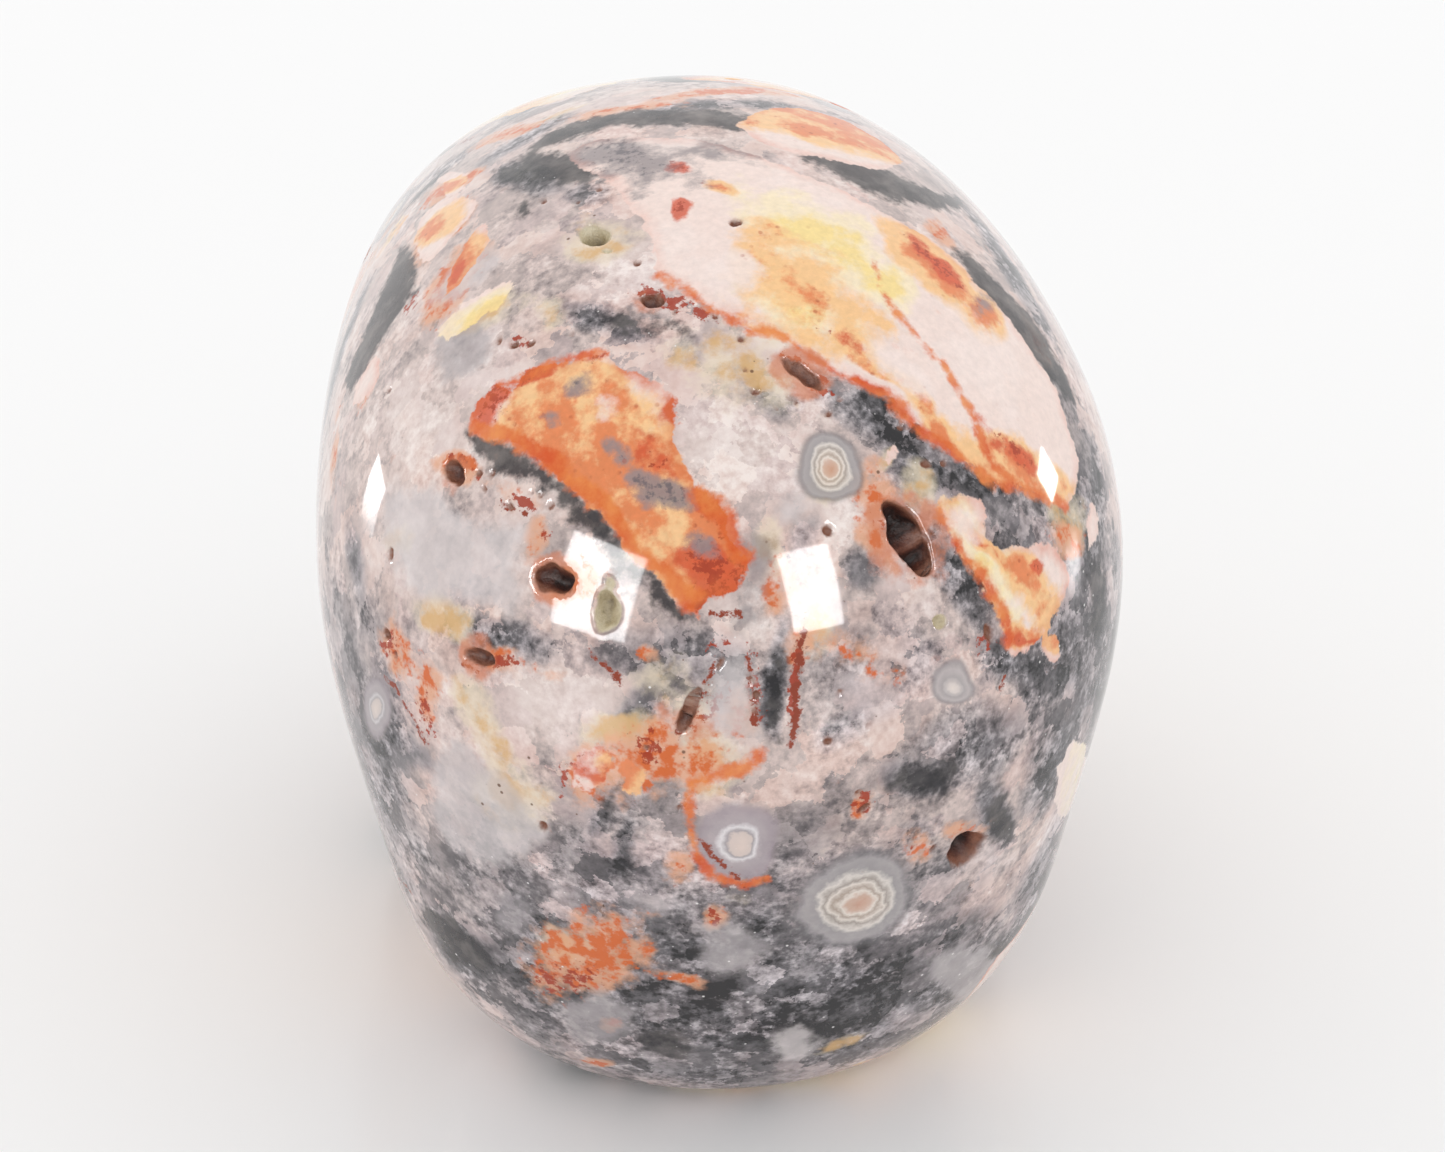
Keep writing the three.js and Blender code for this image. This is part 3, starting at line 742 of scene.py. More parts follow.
    def settle(self, carving: Carving, which: slice, steps: int) -> FloatArray:
        """Moves points down the field onto the surface, and returns their outward directions."""
        outward = np.zeros((0, 3))
        for _ in range(steps):
            gap, outward = carving.probe(self.points[which], carving.stone)
            self.points[which] -= outward * np.clip(gap, -0.5, 0.5)[:, None]
        return outward

    def relax(self, carving: Carving) -> None:
        """Slides each point along the surface towards the middle of its neighbours."""
        pairs, _ = self.edges()
        total = np.zeros_like(self.points)
        for axis in range(3):
            for near, far in ((0, 1), (1, 0)):
                weights = self.points[pairs[:, far], axis]
                total[:, axis] += np.bincount(pairs[:, near], weights, minlength=len(self.points))
        neighbours = np.bincount(pairs.ravel(), minlength=len(self.points))
        pull = total / neighbours[:, None] - self.points
        _, outward = carving.probe(self.points, carving.stone)
        pull -= (pull * outward).sum(axis=1)[:, None] * outward
        self.points += 0.6 * pull
        self.settle(carving, slice(None), 1)

    @classmethod
    def of_rays(cls, carving: Carving, splits: int) -> Surface:
        """A sphere of rays from an icosahedron, reaching out to the whole carving."""
        g = (1.0 + math.sqrt(5.0)) / 2.0
        corners = [(-1, g, 0), (1, g, 0), (-1, -g, 0), (1, -g, 0)]
        corners += [(0, -1, g), (0, 1, g), (0, -1, -g), (0, 1, -g)]
        corners += [(g, 0, -1), (g, 0, 1), (-g, 0, -1), (-g, 0, 1)]
        faces = [(0, 11, 5), (0, 5, 1), (0, 1, 7), (0, 7, 10), (0, 10, 11)]
        faces += [(1, 5, 9), (5, 11, 4), (11, 10, 2), (10, 7, 6), (7, 1, 8)]
        faces += [(3, 9, 4), (3, 4, 2), (3, 2, 6), (3, 6, 8), (3, 8, 9)]
        faces += [(4, 9, 5), (2, 4, 11), (6, 2, 10), (8, 6, 7), (9, 8, 1)]
        sphere = cls(np.array(corners, dtype=float), np.array(faces))
        for _ in range(splits):
            sphere.split(lambda starts, ends: np.ones(len(starts), dtype=bool))
        sphere.points = carving.reach_out(unit(sphere.points))
        return sphere


@dataclass(frozen=True)
class Fineness:
    """The longest triangle side in each region, in millimetres."""

    on_head: float = 0.66
    on_face: float = 0.58
    on_teeth: float = 0.38
    past_pit: float = 1.6
    coarser: float = 1.0
    # Places, radii and sides of other fine regions: the orbs, bands and cracks.
    spots: tuple[tuple[FloatArray, float, float], ...] = ()

    def longest(self, points: FloatArray, carving: Carving) -> FloatArray:
        """The longest allowed side at each point."""
        onto_head = np.clip(np.maximum((points[:, 1] + 8.0) / 10.0, (points[:, 2] - 27.0) / 4.0), 0.0, 1.0)
        longest = self.on_face + (self.on_head - self.on_face) * onto_head
        teeth = (points[:, 1] < -17.5) & (points[:, 2] > 2.0) & (points[:, 2] < 18.0)
        longest[teeth & (np.abs(points[:, 0]) < 9.5)] = self.on_teeth
        for pit, near in zip(carving.pits, close_to(points, np.array([pit.at for pit in carving.pits]), 3.6)):
            away = length(points[near] - pit.at) - 1.15 * pit.radii[0]
            near = near[away < self.past_pit]
            away = away[away < self.past_pit]
            fine = max(pit.side, 0.4 * pit.radii[1])
            allowed = fine + (self.on_head - fine) * np.clip(away / self.past_pit, 0.0, 1.0)
            longest[near] = np.minimum(longest[near], allowed)
        for at, radius, side in self.spots:
            near = length(points - at) < radius
            longest[near] = np.minimum(longest[near], side)
        return longest * self.coarser


def mesh_carving(carving: Carving, fineness: Fineness, rounds: int) -> Surface:
    """Grows the carving's surface from a sphere of rays, splitting and evening it out.

    Args:
        carving: The distance field to settle on.
        fineness: How fine each region gets.
        rounds: How many times long sides are split.

    Returns:
        The closed surface, in the carving's own frame.
    """
    surface = Surface.of_rays(carving, splits=4)
    surface.settle(carving, slice(None), 3)

    def is_long(starts: FloatArray, ends: FloatArray) -> npt.NDArray[np.bool_]:
        """Says which edges are longer than their region allows."""
        return length(starts - ends) > fineness.longest((starts + ends) / 2.0, carving)

    for _ in range(rounds):
        surface.settle(carving, surface.split(is_long), 3)
        surface.flip()
        surface.relax(carving)
        surface.flip()
    for _ in range(2):
        surface.relax(carving)
        surface.flip()
    surface.settle(carving, slice(None), 2)
    return surface


class Channel(Enum):
    """A measure stored at every vertex: its attribute, and its place among the attribute's three."""

    FRAGMENT = ("edges", 0)
    CHARCOAL = ("edges", 1)
    MILK = ("edges", 2)
    BAND = ("strokes", 0)
    CRACK = ("strokes", 1)
    MILK_LIGHT = ("strokes", 2)
    GROUND_WARM = ("ground_warmth", 0)
    GROUND_STRAW = ("ground_warmth", 1)
    GROUND_RUST = ("ground_warmth", 2)
    GROUND_SMOKE = ("ground_light", 0)
    GROUND_PALE = ("ground_light", 1)
    STAIN = ("ground_light", 2)
    FRAGMENT_WARM = ("fragment_warmth", 0)
    FRAGMENT_STRAW = ("fragment_warmth", 1)
    FRAGMENT_RUST = ("fragment_warmth", 2)
    FRAGMENT_SMOKE = ("fragment_light", 0)
    FRAGMENT_PALE = ("fragment_light", 1)
    RIM = ("fragment_light", 2)
    ORB_RADIUS = ("orbs", 0)
    ORB_KIND = ("orbs", 1)
    CREAM_ORB = ("orbs", 2)
    HOLLOW = ("hollows", 0)
    SAND_WALL = ("hollows", 1)
    DEEP = ("hollows", 2)
    GROOVE = ("grooves", 0)


class Tint(Enum):
    """What a soft cloud in the stone is tinted with."""

    WARM = "orange and peach iron tint"
    STRAW = "yellow and cream tint"
    RUST = "red rust"
    SMOKE = "dark grey"
    PALE = "white quartz"


@dataclass(frozen=True)
class Patch:
    """A sharp-edged patch of the stone, outlined in the photograph's pixels."""

    outline: tuple[Pixel, ...]
    # The orange rim's strength on a fragment, or how light a milky patch is.
    level: float = 0.0


@dataclass(frozen=True)
class Stroke:
    """A thin band or crack along a line of the photograph's pixels, with its width in millimetres."""

    path: tuple[Pixel, ...]
    width: float


@dataclass(frozen=True)
class Cloud:
    """A soft oval cloud in the stone, read on an enlargement of the photograph: sizes in its pixels."""

    x: float
    y: float
    long: float
    wide: float
    turn: float
    strength: float


@dataclass(frozen=True)
class Orb:
    """A round eye of ringed chalcedony: its middle and size in the photograph's pixels."""

    at: Pixel
    long: float
    wide: float
    turn: float
    # From 0, plain grey rings, to 1, lavender with one white ring.
    kind: float
    is_cream: bool = False


# The enlargement on which the clouds were read: its pixels to one of the photograph's, and its corner.
ENLARGED_BY = 1.447
ENLARGED_LEFT = 292.6
ENLARGED_TOP = 63.0

FRAGMENTS = (
    # The large sunset patch on the upper right.
    Patch(
        (
            (661, 282), (679, 285), (696, 297), (717, 310), (752, 326), (784, 341), (819, 360), (855, 379),
            (884, 396), (907, 417), (937, 439), (963, 461), (982, 477), (1030, 496), (1069, 511), (1076, 496),
            (1077, 458), (1072, 431), (1060, 399), (1039, 361), (1013, 323), (984, 288), (951, 256), (913, 229),
            (872, 206), (825, 182), (784, 166), (743, 152), (700, 140), (640, 136), (590, 142), (566, 154),
            (582, 172), (606, 182), (628, 200), (650, 235), (655, 268),
        ),
        0.25,
    ),
    # The ember in the middle.
    Patch(
        (
            (472, 419), (489, 386), (509, 389), (529, 371), (554, 364), (574, 361), (584, 349), (601, 349),
            (616, 359), (623, 371), (653, 379), (673, 394), (679, 443), (687, 467), (705, 487), (718, 499),
            (728, 534), (746, 558), (738, 575), (713, 597), (699, 622), (679, 606), (648, 572), (615, 535),
            (581, 499), (564, 482), (539, 462), (516, 446), (488, 437), (474, 436),
        ),
        0.8,
    ),
    # The cream wedge on the right, and the crumb below it.
    Patch(
        (
            (937, 501), (947, 496), (974, 496), (985, 505), (985, 529), (1002, 546), (1029, 546), (1048, 542),
            (1062, 554), (1069, 573), (1065, 601), (1054, 620), (1037, 647), (1026, 655), (1010, 650), (999, 617),
            (988, 598), (977, 576), (960, 554), (947, 527),
        ),
        0.5,
    ),
    Patch(((1046, 640), (1056, 633), (1064, 644), (1062, 660), (1050, 664), (1043, 652)), 0.4),
    # Orange wedges at the upper left.
    Patch(((492, 222), (480, 225), (464, 246), (452, 272), (444, 297), (456, 287), (474, 266), (488, 242)), 0.4),
    Patch(
        ((412, 246), (422, 216), (440, 200), (462, 196), (478, 203), (468, 220), (454, 234), (442, 252), (426, 264)),
        0.2,
    ),
    Patch(((438, 178), (452, 170), (468, 174), (464, 190), (448, 198)), 0.2),
    Patch(
        (
            (436, 332), (450, 314), (472, 298), (498, 284), (515, 282), (511, 296), (490, 312), (468, 327),
            (446, 339),
        ),
        0.1,
    ),
    Patch(((352, 409), (356, 384), (370, 362), (381, 356), (380, 376), (368, 398)), 0.4),
    # The pink block and its orange neighbour at the lower middle.
    Patch(((570, 787), (571, 760), (582, 748), (600, 745), (614, 755), (617, 765), (603, 780), (590, 788)), 0.3),
    Patch(((618, 788), (620, 765), (632, 757), (648, 768), (645, 786), (632, 797)), 0.2),
    # The tan lens near the far rim.
    Patch(
        (
            (735, 124), (765, 110), (806, 109), (846, 121), (882, 142), (904, 163), (884, 171), (846, 164),
            (800, 154), (762, 142),
        ),
        0.3,
    ),
    # The cream patch on the right edge, and two crumbs.
    Patch(((1054, 800), (1058, 765), (1072, 742), (1085, 744), (1083, 778), (1072, 808), (1060, 820)), 0.0),
    Patch(((880, 470), (884, 456), (894, 447), (896, 460), (889, 473)), 0.3),
    Patch(((1088, 520), (1094, 500), (1100, 520), (1096, 545), (1088, 550)), 0.2),
)

CHARCOAL = (
    Patch(
        (
            (468, 432), (470, 452), (494, 470), (530, 486), (556, 502), (577, 526), (600, 552), (628, 584),
            (656, 612), (694, 630), (702, 616), (679, 598), (648, 564), (615, 527), (581, 491), (540, 456),
            (500, 434),
        ),
    ),
    Patch(
        (
            (402, 240), (418, 258), (416, 290), (400, 312), (384, 338), (368, 368), (350, 395), (342, 388),
            (356, 350), (372, 315), (386, 280),
        ),
    ),
    Patch(((489, 172), (517, 168), (520, 182), (500, 186))),
    Patch(((514, 160), (545, 152), (586, 155), (600, 168), (590, 187), (560, 186), (530, 182), (516, 172))),
    Patch(((514, 200), (529, 198), (531, 214), (518, 218))),
    Patch(
        (
            (520, 152), (560, 126), (600, 114), (660, 108), (720, 110), (762, 120), (768, 134), (720, 130),
            (660, 126), (600, 131), (560, 143), (530, 158),
        ),
    ),
    Patch(
        (
            (792, 148), (830, 152), (870, 165), (905, 178), (935, 190), (966, 201), (958, 212), (925, 208),
            (895, 202), (860, 190), (825, 172), (800, 160),
        ),
    ),
    Patch(
        (
            (950, 246), (975, 258), (1005, 286), (1034, 318), (1058, 358), (1078, 399), (1070, 408), (1045, 375),
            (1018, 340), (990, 306), (965, 277),
        ),
    ),
    Patch(((887, 790), (893, 775), (905, 766), (925, 760), (954, 764), (957, 790), (950, 803), (935, 795), (914, 792))),
    Patch(((1000, 787), (1010, 800), (1015, 822), (1008, 840), (995, 853), (985, 838), (990, 810))),
    Patch(((768, 634), (782, 640), (786, 680), (784, 720), (775, 743), (767, 715), (770, 675))),
    Patch(((632, 1035), (650, 1025), (680, 1028), (694, 1045), (690, 1062), (665, 1060), (645, 1052))),
    Patch(((617, 850), (624, 832), (633, 828), (634, 850), (628, 884), (618, 878))),
    Patch(((600, 800), (630, 776), (636, 782), (612, 806), (600, 820))),
    Patch(((1086, 560), (1100, 545), (1108, 600), (1102, 640), (1086, 640), (1090, 600))),
    Patch(((420, 905), (450, 915), (490, 950), (500, 975), (480, 972), (445, 945), (420, 922))),
    Patch(((596, 318), (620, 310), (660, 316), (700, 338), (690, 344), (650, 330), (612, 328))),
)

MILK = (
    Patch(
        (
            (383, 490), (413, 483), (432, 489), (455, 505), (477, 521), (500, 524), (516, 535), (521, 561),
            (516, 586), (500, 608), (477, 614), (460, 600), (432, 597), (413, 586), (393, 563), (380, 533),
        ),
        0.8,
    ),
    Patch(
        (
            (433, 354), (440, 335), (456, 323), (476, 321), (491, 332), (493, 349), (485, 366), (466, 380),
            (446, 379), (436, 368),
        ),
        0.5,
    ),
    Patch(
        (
            (440, 742), (462, 735), (485, 755), (510, 785), (535, 808), (546, 830), (536, 856), (510, 866),
            (480, 862), (452, 846), (434, 816), (430, 778),
        ),
        0.72,
    ),
    Patch(((716, 668), (735, 655), (752, 672), (756, 700), (748, 735), (725, 745), (712, 725), (708, 695)), 0.78),
    Patch(((839, 570), (845, 556), (858, 553), (871, 559), (875, 573), (867, 587), (853, 589), (842, 583)), 0.1),
    Patch(((352, 700), (375, 760), (410, 742), (432, 745), (420, 771), (384, 768), (356, 740)), 0.2),
    Patch(((905, 775), (917, 769), (931, 771), (929, 784), (915, 788), (904, 786)), 0.95),
    Patch(((740, 540), (756, 534), (776, 545), (774, 570), (756, 600), (744, 640), (735, 628), (736, 590)), 0.25),
    Patch(((770, 500), (790, 492), (806, 505), (800, 522), (780, 525)), 0.7),
    Patch(((700, 930), (740, 920), (770, 940), (760, 970), (720, 975), (698, 955)), 0.55),
    Patch(((500, 900), (520, 894), (536, 910), (530, 935), (510, 938), (498, 920)), 0.35),
    Patch(((600, 430), (612, 440), (606, 462), (594, 452)), 0.35),
    Patch(((430, 300), (450, 270), (480, 250), (500, 262), (480, 285), (452, 305)), 0.75),
    Patch(((770, 1035), (800, 1025), (822, 1042), (806, 1062), (776, 1060)), 0.85),
    Patch(((930, 960), (960, 940), (990, 950), (985, 985), (950, 995), (930, 980)), 0.6),
    Patch(((560, 1000), (600, 990), (640, 1010), (630, 1035), (590, 1045), (562, 1030)), 0.5),
)

BANDS = (
    Stroke(((655, 276), (679, 285), (696, 297), (717, 310), (752, 326), (784, 341), (819, 360), (855, 379)), 0.2),
    Stroke(((855, 379), (884, 396), (907, 417), (937, 439), (963, 461), (982, 477), (1030, 496), (1066, 509)), 0.35),
    Stroke(((876, 262), (884, 290), (902, 318), (918, 340), (945, 364)), 0.12),
    Stroke(((945, 364), (960, 392), (974, 420), (990, 468), (1020, 488)), 0.3),
    Stroke(((478, 428), (502, 434), (542, 454), (570, 475), (596, 500), (622, 527), (654, 562), (690, 604)), 0.5),
    Stroke(((692, 786), (687, 806), (688, 832), (698, 858), (716, 878), (744, 888), (764, 880)), 0.32),
    Stroke(((694, 782), (716, 772), (738, 768), (754, 756)), 0.3),
    Stroke(((940, 505), (950, 530), (966, 556), (984, 582), (1000, 606), (1008, 640)), 0.25),
    Stroke(((494, 388), (520, 380), (552, 366), (584, 354), (604, 354)), 0.2),
    Stroke(((703, 492), (722, 520), (742, 556)), 0.45),
)

CRACKS = (
    Stroke(((803, 634), (804, 658), (800, 690), (797, 719), (789, 748)), 0.2),
    Stroke(((716, 660), (702, 685), (690, 712), (678, 735)), 0.12),
    Stroke(((744, 664), (752, 682), (756, 700), (757, 722)), 0.12),
    Stroke(((486, 656), (470, 652), (462, 664), (478, 670)), 0.1),
    Stroke(((388, 680), (400, 700), (414, 720), (424, 740)), 0.2),
    Stroke(((505, 500), (520, 515)), 0.14),
    Stroke(((1006, 676), (1000, 696)), 0.12),
    Stroke(((592, 652), (610, 668), (622, 684)), 0.12),
    Stroke(((700, 840), (722, 868), (744, 890)), 0.1),
    Stroke(((712, 618), (738, 614)), 0.1),
    Stroke(((384, 860), (400, 878), (412, 892)), 0.1),
)

ORBS = (
    Orb((856, 903), 134, 98, 20, 0.0, is_cream=True),
    Orb((738, 845), 92, 88, 0, 1.0),
    Orb((830, 467), 76, 70, 0, 0.3, is_cream=True),
    Orb((375, 708), 40, 66, 0, 0.6),
    Orb((956, 684), 48, 50, 0, 0.1),
)

GROUND_CLOUDS = {
    Tint.WARM: (
        Cloud(225, 180, 120, 60, 30, 1),
        Cloud(215, 240, 150, 70, 45, 1),
        Cloud(230, 320, 170, 70, 60, 0.9),
        Cloud(300, 105, 150, 50, 20, 0.95),
        Cloud(480, 66, 200, 34, 8, 0.9),
        Cloud(640, 40, 260, 40, 0, 1),
        Cloud(800, 60, 230, 50, -15, 1),
        Cloud(960, 150, 160, 50, -38, 0.8),
        Cloud(104, 470, 80, 34, 75, 0.9),
        Cloud(235, 585, 80, 46, -20, 1),
        Cloud(300, 612, 130, 40, -25, 0.6),
        Cloud(350, 700, 90, 50, 80, 0.6),
        Cloud(400, 745, 130, 90, 0, 0.75),
        Cloud(150, 850, 110, 50, -70, 0.7),
        Cloud(192, 905, 130, 50, -75, 0.75),
        Cloud(320, 868, 190, 44, -14, 0.6),
        Cloud(520, 1010, 190, 120, 10, 0.85),
        Cloud(430, 1030, 90, 110, 0, 0.8),
        Cloud(590, 1010, 130, 90, 30, 0.7),
        Cloud(515, 852, 40, 34, 0, 0.75),
        Cloud(700, 760, 70, 90, 0, 0.7),
        Cloud(735, 840, 100, 50, 85, 0.7),
        Cloud(800, 850, 110, 60, 0, 0.5),
        Cloud(860, 885, 90, 46, 0, 0.7),
        Cloud(845, 620, 90, 80, -60, 0.8),
        Cloud(846, 690, 130, 40, -62, 0.7),
        Cloud(420, 1295, 200, 130, 20, 1),
        Cloud(462, 1390, 46, 30, 0, 0.9),
        Cloud(440, 1447, 60, 24, 0, 0.9),
        Cloud(565, 1322, 100, 26, -10, 0.8),
        Cloud(612, 1240, 66, 40, -70, 0.8),
        Cloud(820, 1075, 60, 34, 30, 0.7),
        Cloud(905, 1135, 60, 60, 0, 0.7),
        Cloud(965, 1110, 90, 40, 0, 0.6),
        Cloud(340, 1425, 120, 26, -22, 0.8),
        Cloud(1120, 690, 70, 60, 0, 0.7),
        Cloud(640, 960, 160, 60, 60, 0.6),
        Cloud(560, 1160, 50, 60, 0, 0.5),
        Cloud(940, 250, 60, 40, -50, 0.8),
        Cloud(1075, 400, 120, 30, -60, 0.7),
        Cloud(60, 560, 160, 30, 85, 0.7),
        Cloud(480, 1060, 60, 60, 0, 0.7),
    ),
    Tint.STRAW: (
        Cloud(440, 252, 130, 80, 0, 0.85),
        Cloud(275, 362, 150, 44, 25, 0.95),
        Cloud(372, 362, 60, 60, 0, 0.75),
        Cloud(215, 800, 120, 70, -35, 0.75),
        Cloud(282, 965, 190, 60, -62, 0.85),
        Cloud(320, 1060, 180, 130, 0, 0.7),
        Cloud(480, 965, 150, 60, 0, 0.9),
        Cloud(600, 1000, 130, 80, -20, 0.8),
        Cloud(560, 905, 150, 120, 0, 0.5),
        Cloud(660, 440, 260, 150, -20, 0.62),
        Cloud(770, 590, 90, 90, 0, 0.6),
        Cloud(690, 700, 60, 90, 0, 0.7),
        Cloud(905, 610, 60, 70, 0, 0.75),
        Cloud(400, 1275, 130, 60, 0, 0.7),
        Cloud(1125, 660, 70, 80, 0, 0.75),
        Cloud(390, 72, 110, 24, 20, 0.7),
        Cloud(860, 575, 40, 20, 60, 1),
        Cloud(150, 690, 60, 60, 0, 0.7),
        Cloud(600, 1050, 80, 50, 0, 0.6),
        Cloud(880, 430, 70, 50, 0, 0.3),
        Cloud(760, 820, 120, 60, 80, 0.4),
        Cloud(640, 1180, 80, 60, -60, 0.5),
        Cloud(790, 1420, 90, 30, 20, 0.5),
        Cloud(590, 330, 60, 30, 0, 0.6),
        Cloud(500, 700, 120, 60, 0, 0.45),
    ),
    Tint.RUST: (
        Cloud(535, 340, 130, 34, -22, 0.9),
        Cloud(590, 362, 90, 26, -20, 0.8),
        Cloud(745, 450, 120, 36, -38, 1),
        Cloud(330, 408, 50, 30, -20, 0.9),
        Cloud(378, 748, 70, 56, 0, 0.85),
        Cloud(140, 842, 36, 50, 0, 0.9),
        Cloud(190, 940, 110, 36, -75, 0.85),
        Cloud(300, 866, 90, 26, -10, 0.9),
        Cloud(590, 940, 140, 44, 40, 0.75),
        Cloud(672, 905, 140, 40, -75, 0.7),
        Cloud(730, 900, 190, 24, 86, 0.9),
        Cloud(512, 992, 50, 60, 0, 0.8),
        Cloud(400, 1325, 120, 60, 10, 0.85),
        Cloud(820, 1072, 50, 28, 40, 0.9),
        Cloud(862, 676, 130, 26, -62, 0.6),
        Cloud(612, 1235, 50, 34, -70, 0.8),
        Cloud(1003, 832, 60, 36, 70, 0.7),
        Cloud(390, 1030, 80, 30, 80, 0.9),
        Cloud(335, 640, 60, 20, -40, 0.9),
        Cloud(365, 680, 40, 30, -30, 0.8),
        Cloud(610, 840, 60, 30, 0, 0.7),
        Cloud(175, 345, 60, 40, 60, 0.7),
        Cloud(265, 600, 30, 30, 0, 0.9),
        Cloud(235, 578, 40, 26, -30, 0.9),
        Cloud(640, 1070, 60, 20, 20, 0.5),
        Cloud(905, 1140, 40, 30, 60, 0.8),
        Cloud(790, 340, 10, 10, 0, 0.1),
    ),
    Tint.SMOKE: (
        Cloud(450, 372, 170, 50, -20, 0.5),
        Cloud(560, 412, 60, 40, 0, 0.35),
        Cloud(310, 835, 190, 60, -8, 0.65),
        Cloud(700, 480, 90, 80, -60, 0.4),
        Cloud(800, 500, 160, 60, -40, 0.6),
        Cloud(880, 545, 260, 90, -42, 0.85),
        Cloud(990, 600, 150, 70, -20, 0.85),
        Cloud(960, 740, 240, 60, -58, 0.75),
        Cloud(1130, 840, 220, 110, 70, 0.9),
        Cloud(1160, 680, 260, 60, 85, 0.85),
        Cloud(1060, 870, 160, 70, -30, 0.8),
        Cloud(700, 890, 190, 44, 86, 0.85),
        Cloud(665, 930, 40, 60, 0, 0.4),
        Cloud(905, 1035, 110, 60, -8, 0.9),
        Cloud(1020, 1090, 110, 50, -75, 0.9),
        Cloud(990, 990, 200, 120, 20, 0.65),
        Cloud(1100, 1010, 200, 100, 75, 0.75),
        Cloud(1080, 1200, 240, 160, 70, 0.85),
        Cloud(900, 1335, 330, 120, 10, 0.95),
        Cloud(760, 1400, 320, 110, 0, 1),
        Cloud(1010, 1300, 240, 120, 35, 0.95),
        Cloud(530, 1400, 110, 60, -10, 0.8),
        Cloud(250, 1290, 200, 120, -50, 0.82),
        Cloud(130, 970, 150, 90, -60, 0.85),
        Cloud(478, 1135, 130, 40, 84, 0.85),
        Cloud(440, 1095, 80, 40, 60, 0.7),
        Cloud(570, 1290, 190, 60, 0, 0.8),
        Cloud(330, 1220, 120, 60, -20, 0.6),
        Cloud(70, 420, 240, 40, 72, 0.8),
        Cloud(330, 165, 140, 50, -10, 0.7),
        Cloud(420, 190, 80, 40, 0, 0.5),
        Cloud(1040, 300, 240, 50, -57, 0.8),
        Cloud(830, 1160, 60, 60, 0, 0.6),
        Cloud(680, 1260, 140, 90, 0, 0.75),
        Cloud(620, 1340, 220, 90, 0, 0.85),
        Cloud(740, 700, 120, 50, 70, 0.45),
        Cloud(820, 730, 60, 60, 0, 0.5),
        # Painted shade: these three broad clouds darken the whole lower part and both sides, over the grey stone.
        Cloud(640, 1370, 1150, 440, 0, 0.72),
        Cloud(1170, 930, 900, 380, 86, 0.62),
        Cloud(120, 1040, 560, 240, -72, 0.55),
        Cloud(990, 760, 120, 50, -60, 0.6),
        Cloud(90, 720, 160, 30, -80, 0.6),
        Cloud(330, 110, 170, 40, 28, 0.7),
        Cloud(900, 120, 220, 50, -32, 0.7),
        # Painted shade: a thin dark strip along the far top rim, set against the room's reflection there.
        Cloud(620, 60, 480, 30, 0, 0.6),
        Cloud(560, 860, 260, 110, -10, 0.5),
        Cloud(500, 940, 200, 60, 60, 0.45),
        Cloud(800, 960, 150, 60, 40, 0.5),
        Cloud(830, 880, 280, 190, 0, 0.3),
    ),
    Tint.PALE: (
        Cloud(170, 520, 170, 200, 0, 0.7),
        Cloud(330, 470, 200, 90, -20, 0.7),
        Cloud(150, 700, 110, 120, 0, 0.6),
        Cloud(640, 560, 170, 120, -20, 0.85),
        Cloud(700, 390, 150, 50, -30, 0.8),
        Cloud(500, 300, 150, 80, 0, 0.75),
        Cloud(660, 830, 240, 80, 0, 0.45),
        Cloud(800, 940, 200, 110, 0, 0.3),
        Cloud(150, 1120, 160, 90, -50, 0.6),
        Cloud(560, 1200, 130, 70, 0, 0.6),
        Cloud(860, 1250, 180, 50, 0, 0.5),
        Cloud(1000, 910, 110, 70, 0, 0.6),
        Cloud(800, 660, 90, 60, 0, 0.7),
        Cloud(620, 1080, 60, 50, 0, 0.5),
        Cloud(360, 930, 150, 110, -30, 0.65),
        Cloud(700, 1330, 160, 60, 0, 0.5),
        Cloud(1100, 1100, 160, 60, 70, 0.5),
        Cloud(300, 520, 90, 60, 0, 0.7),
        Cloud(740, 480, 120, 50, -30, 0.7),
        Cloud(430, 900, 150, 60, -20, 0.5),
        Cloud(270, 430, 90, 60, 60, 0.6),
    ),
}

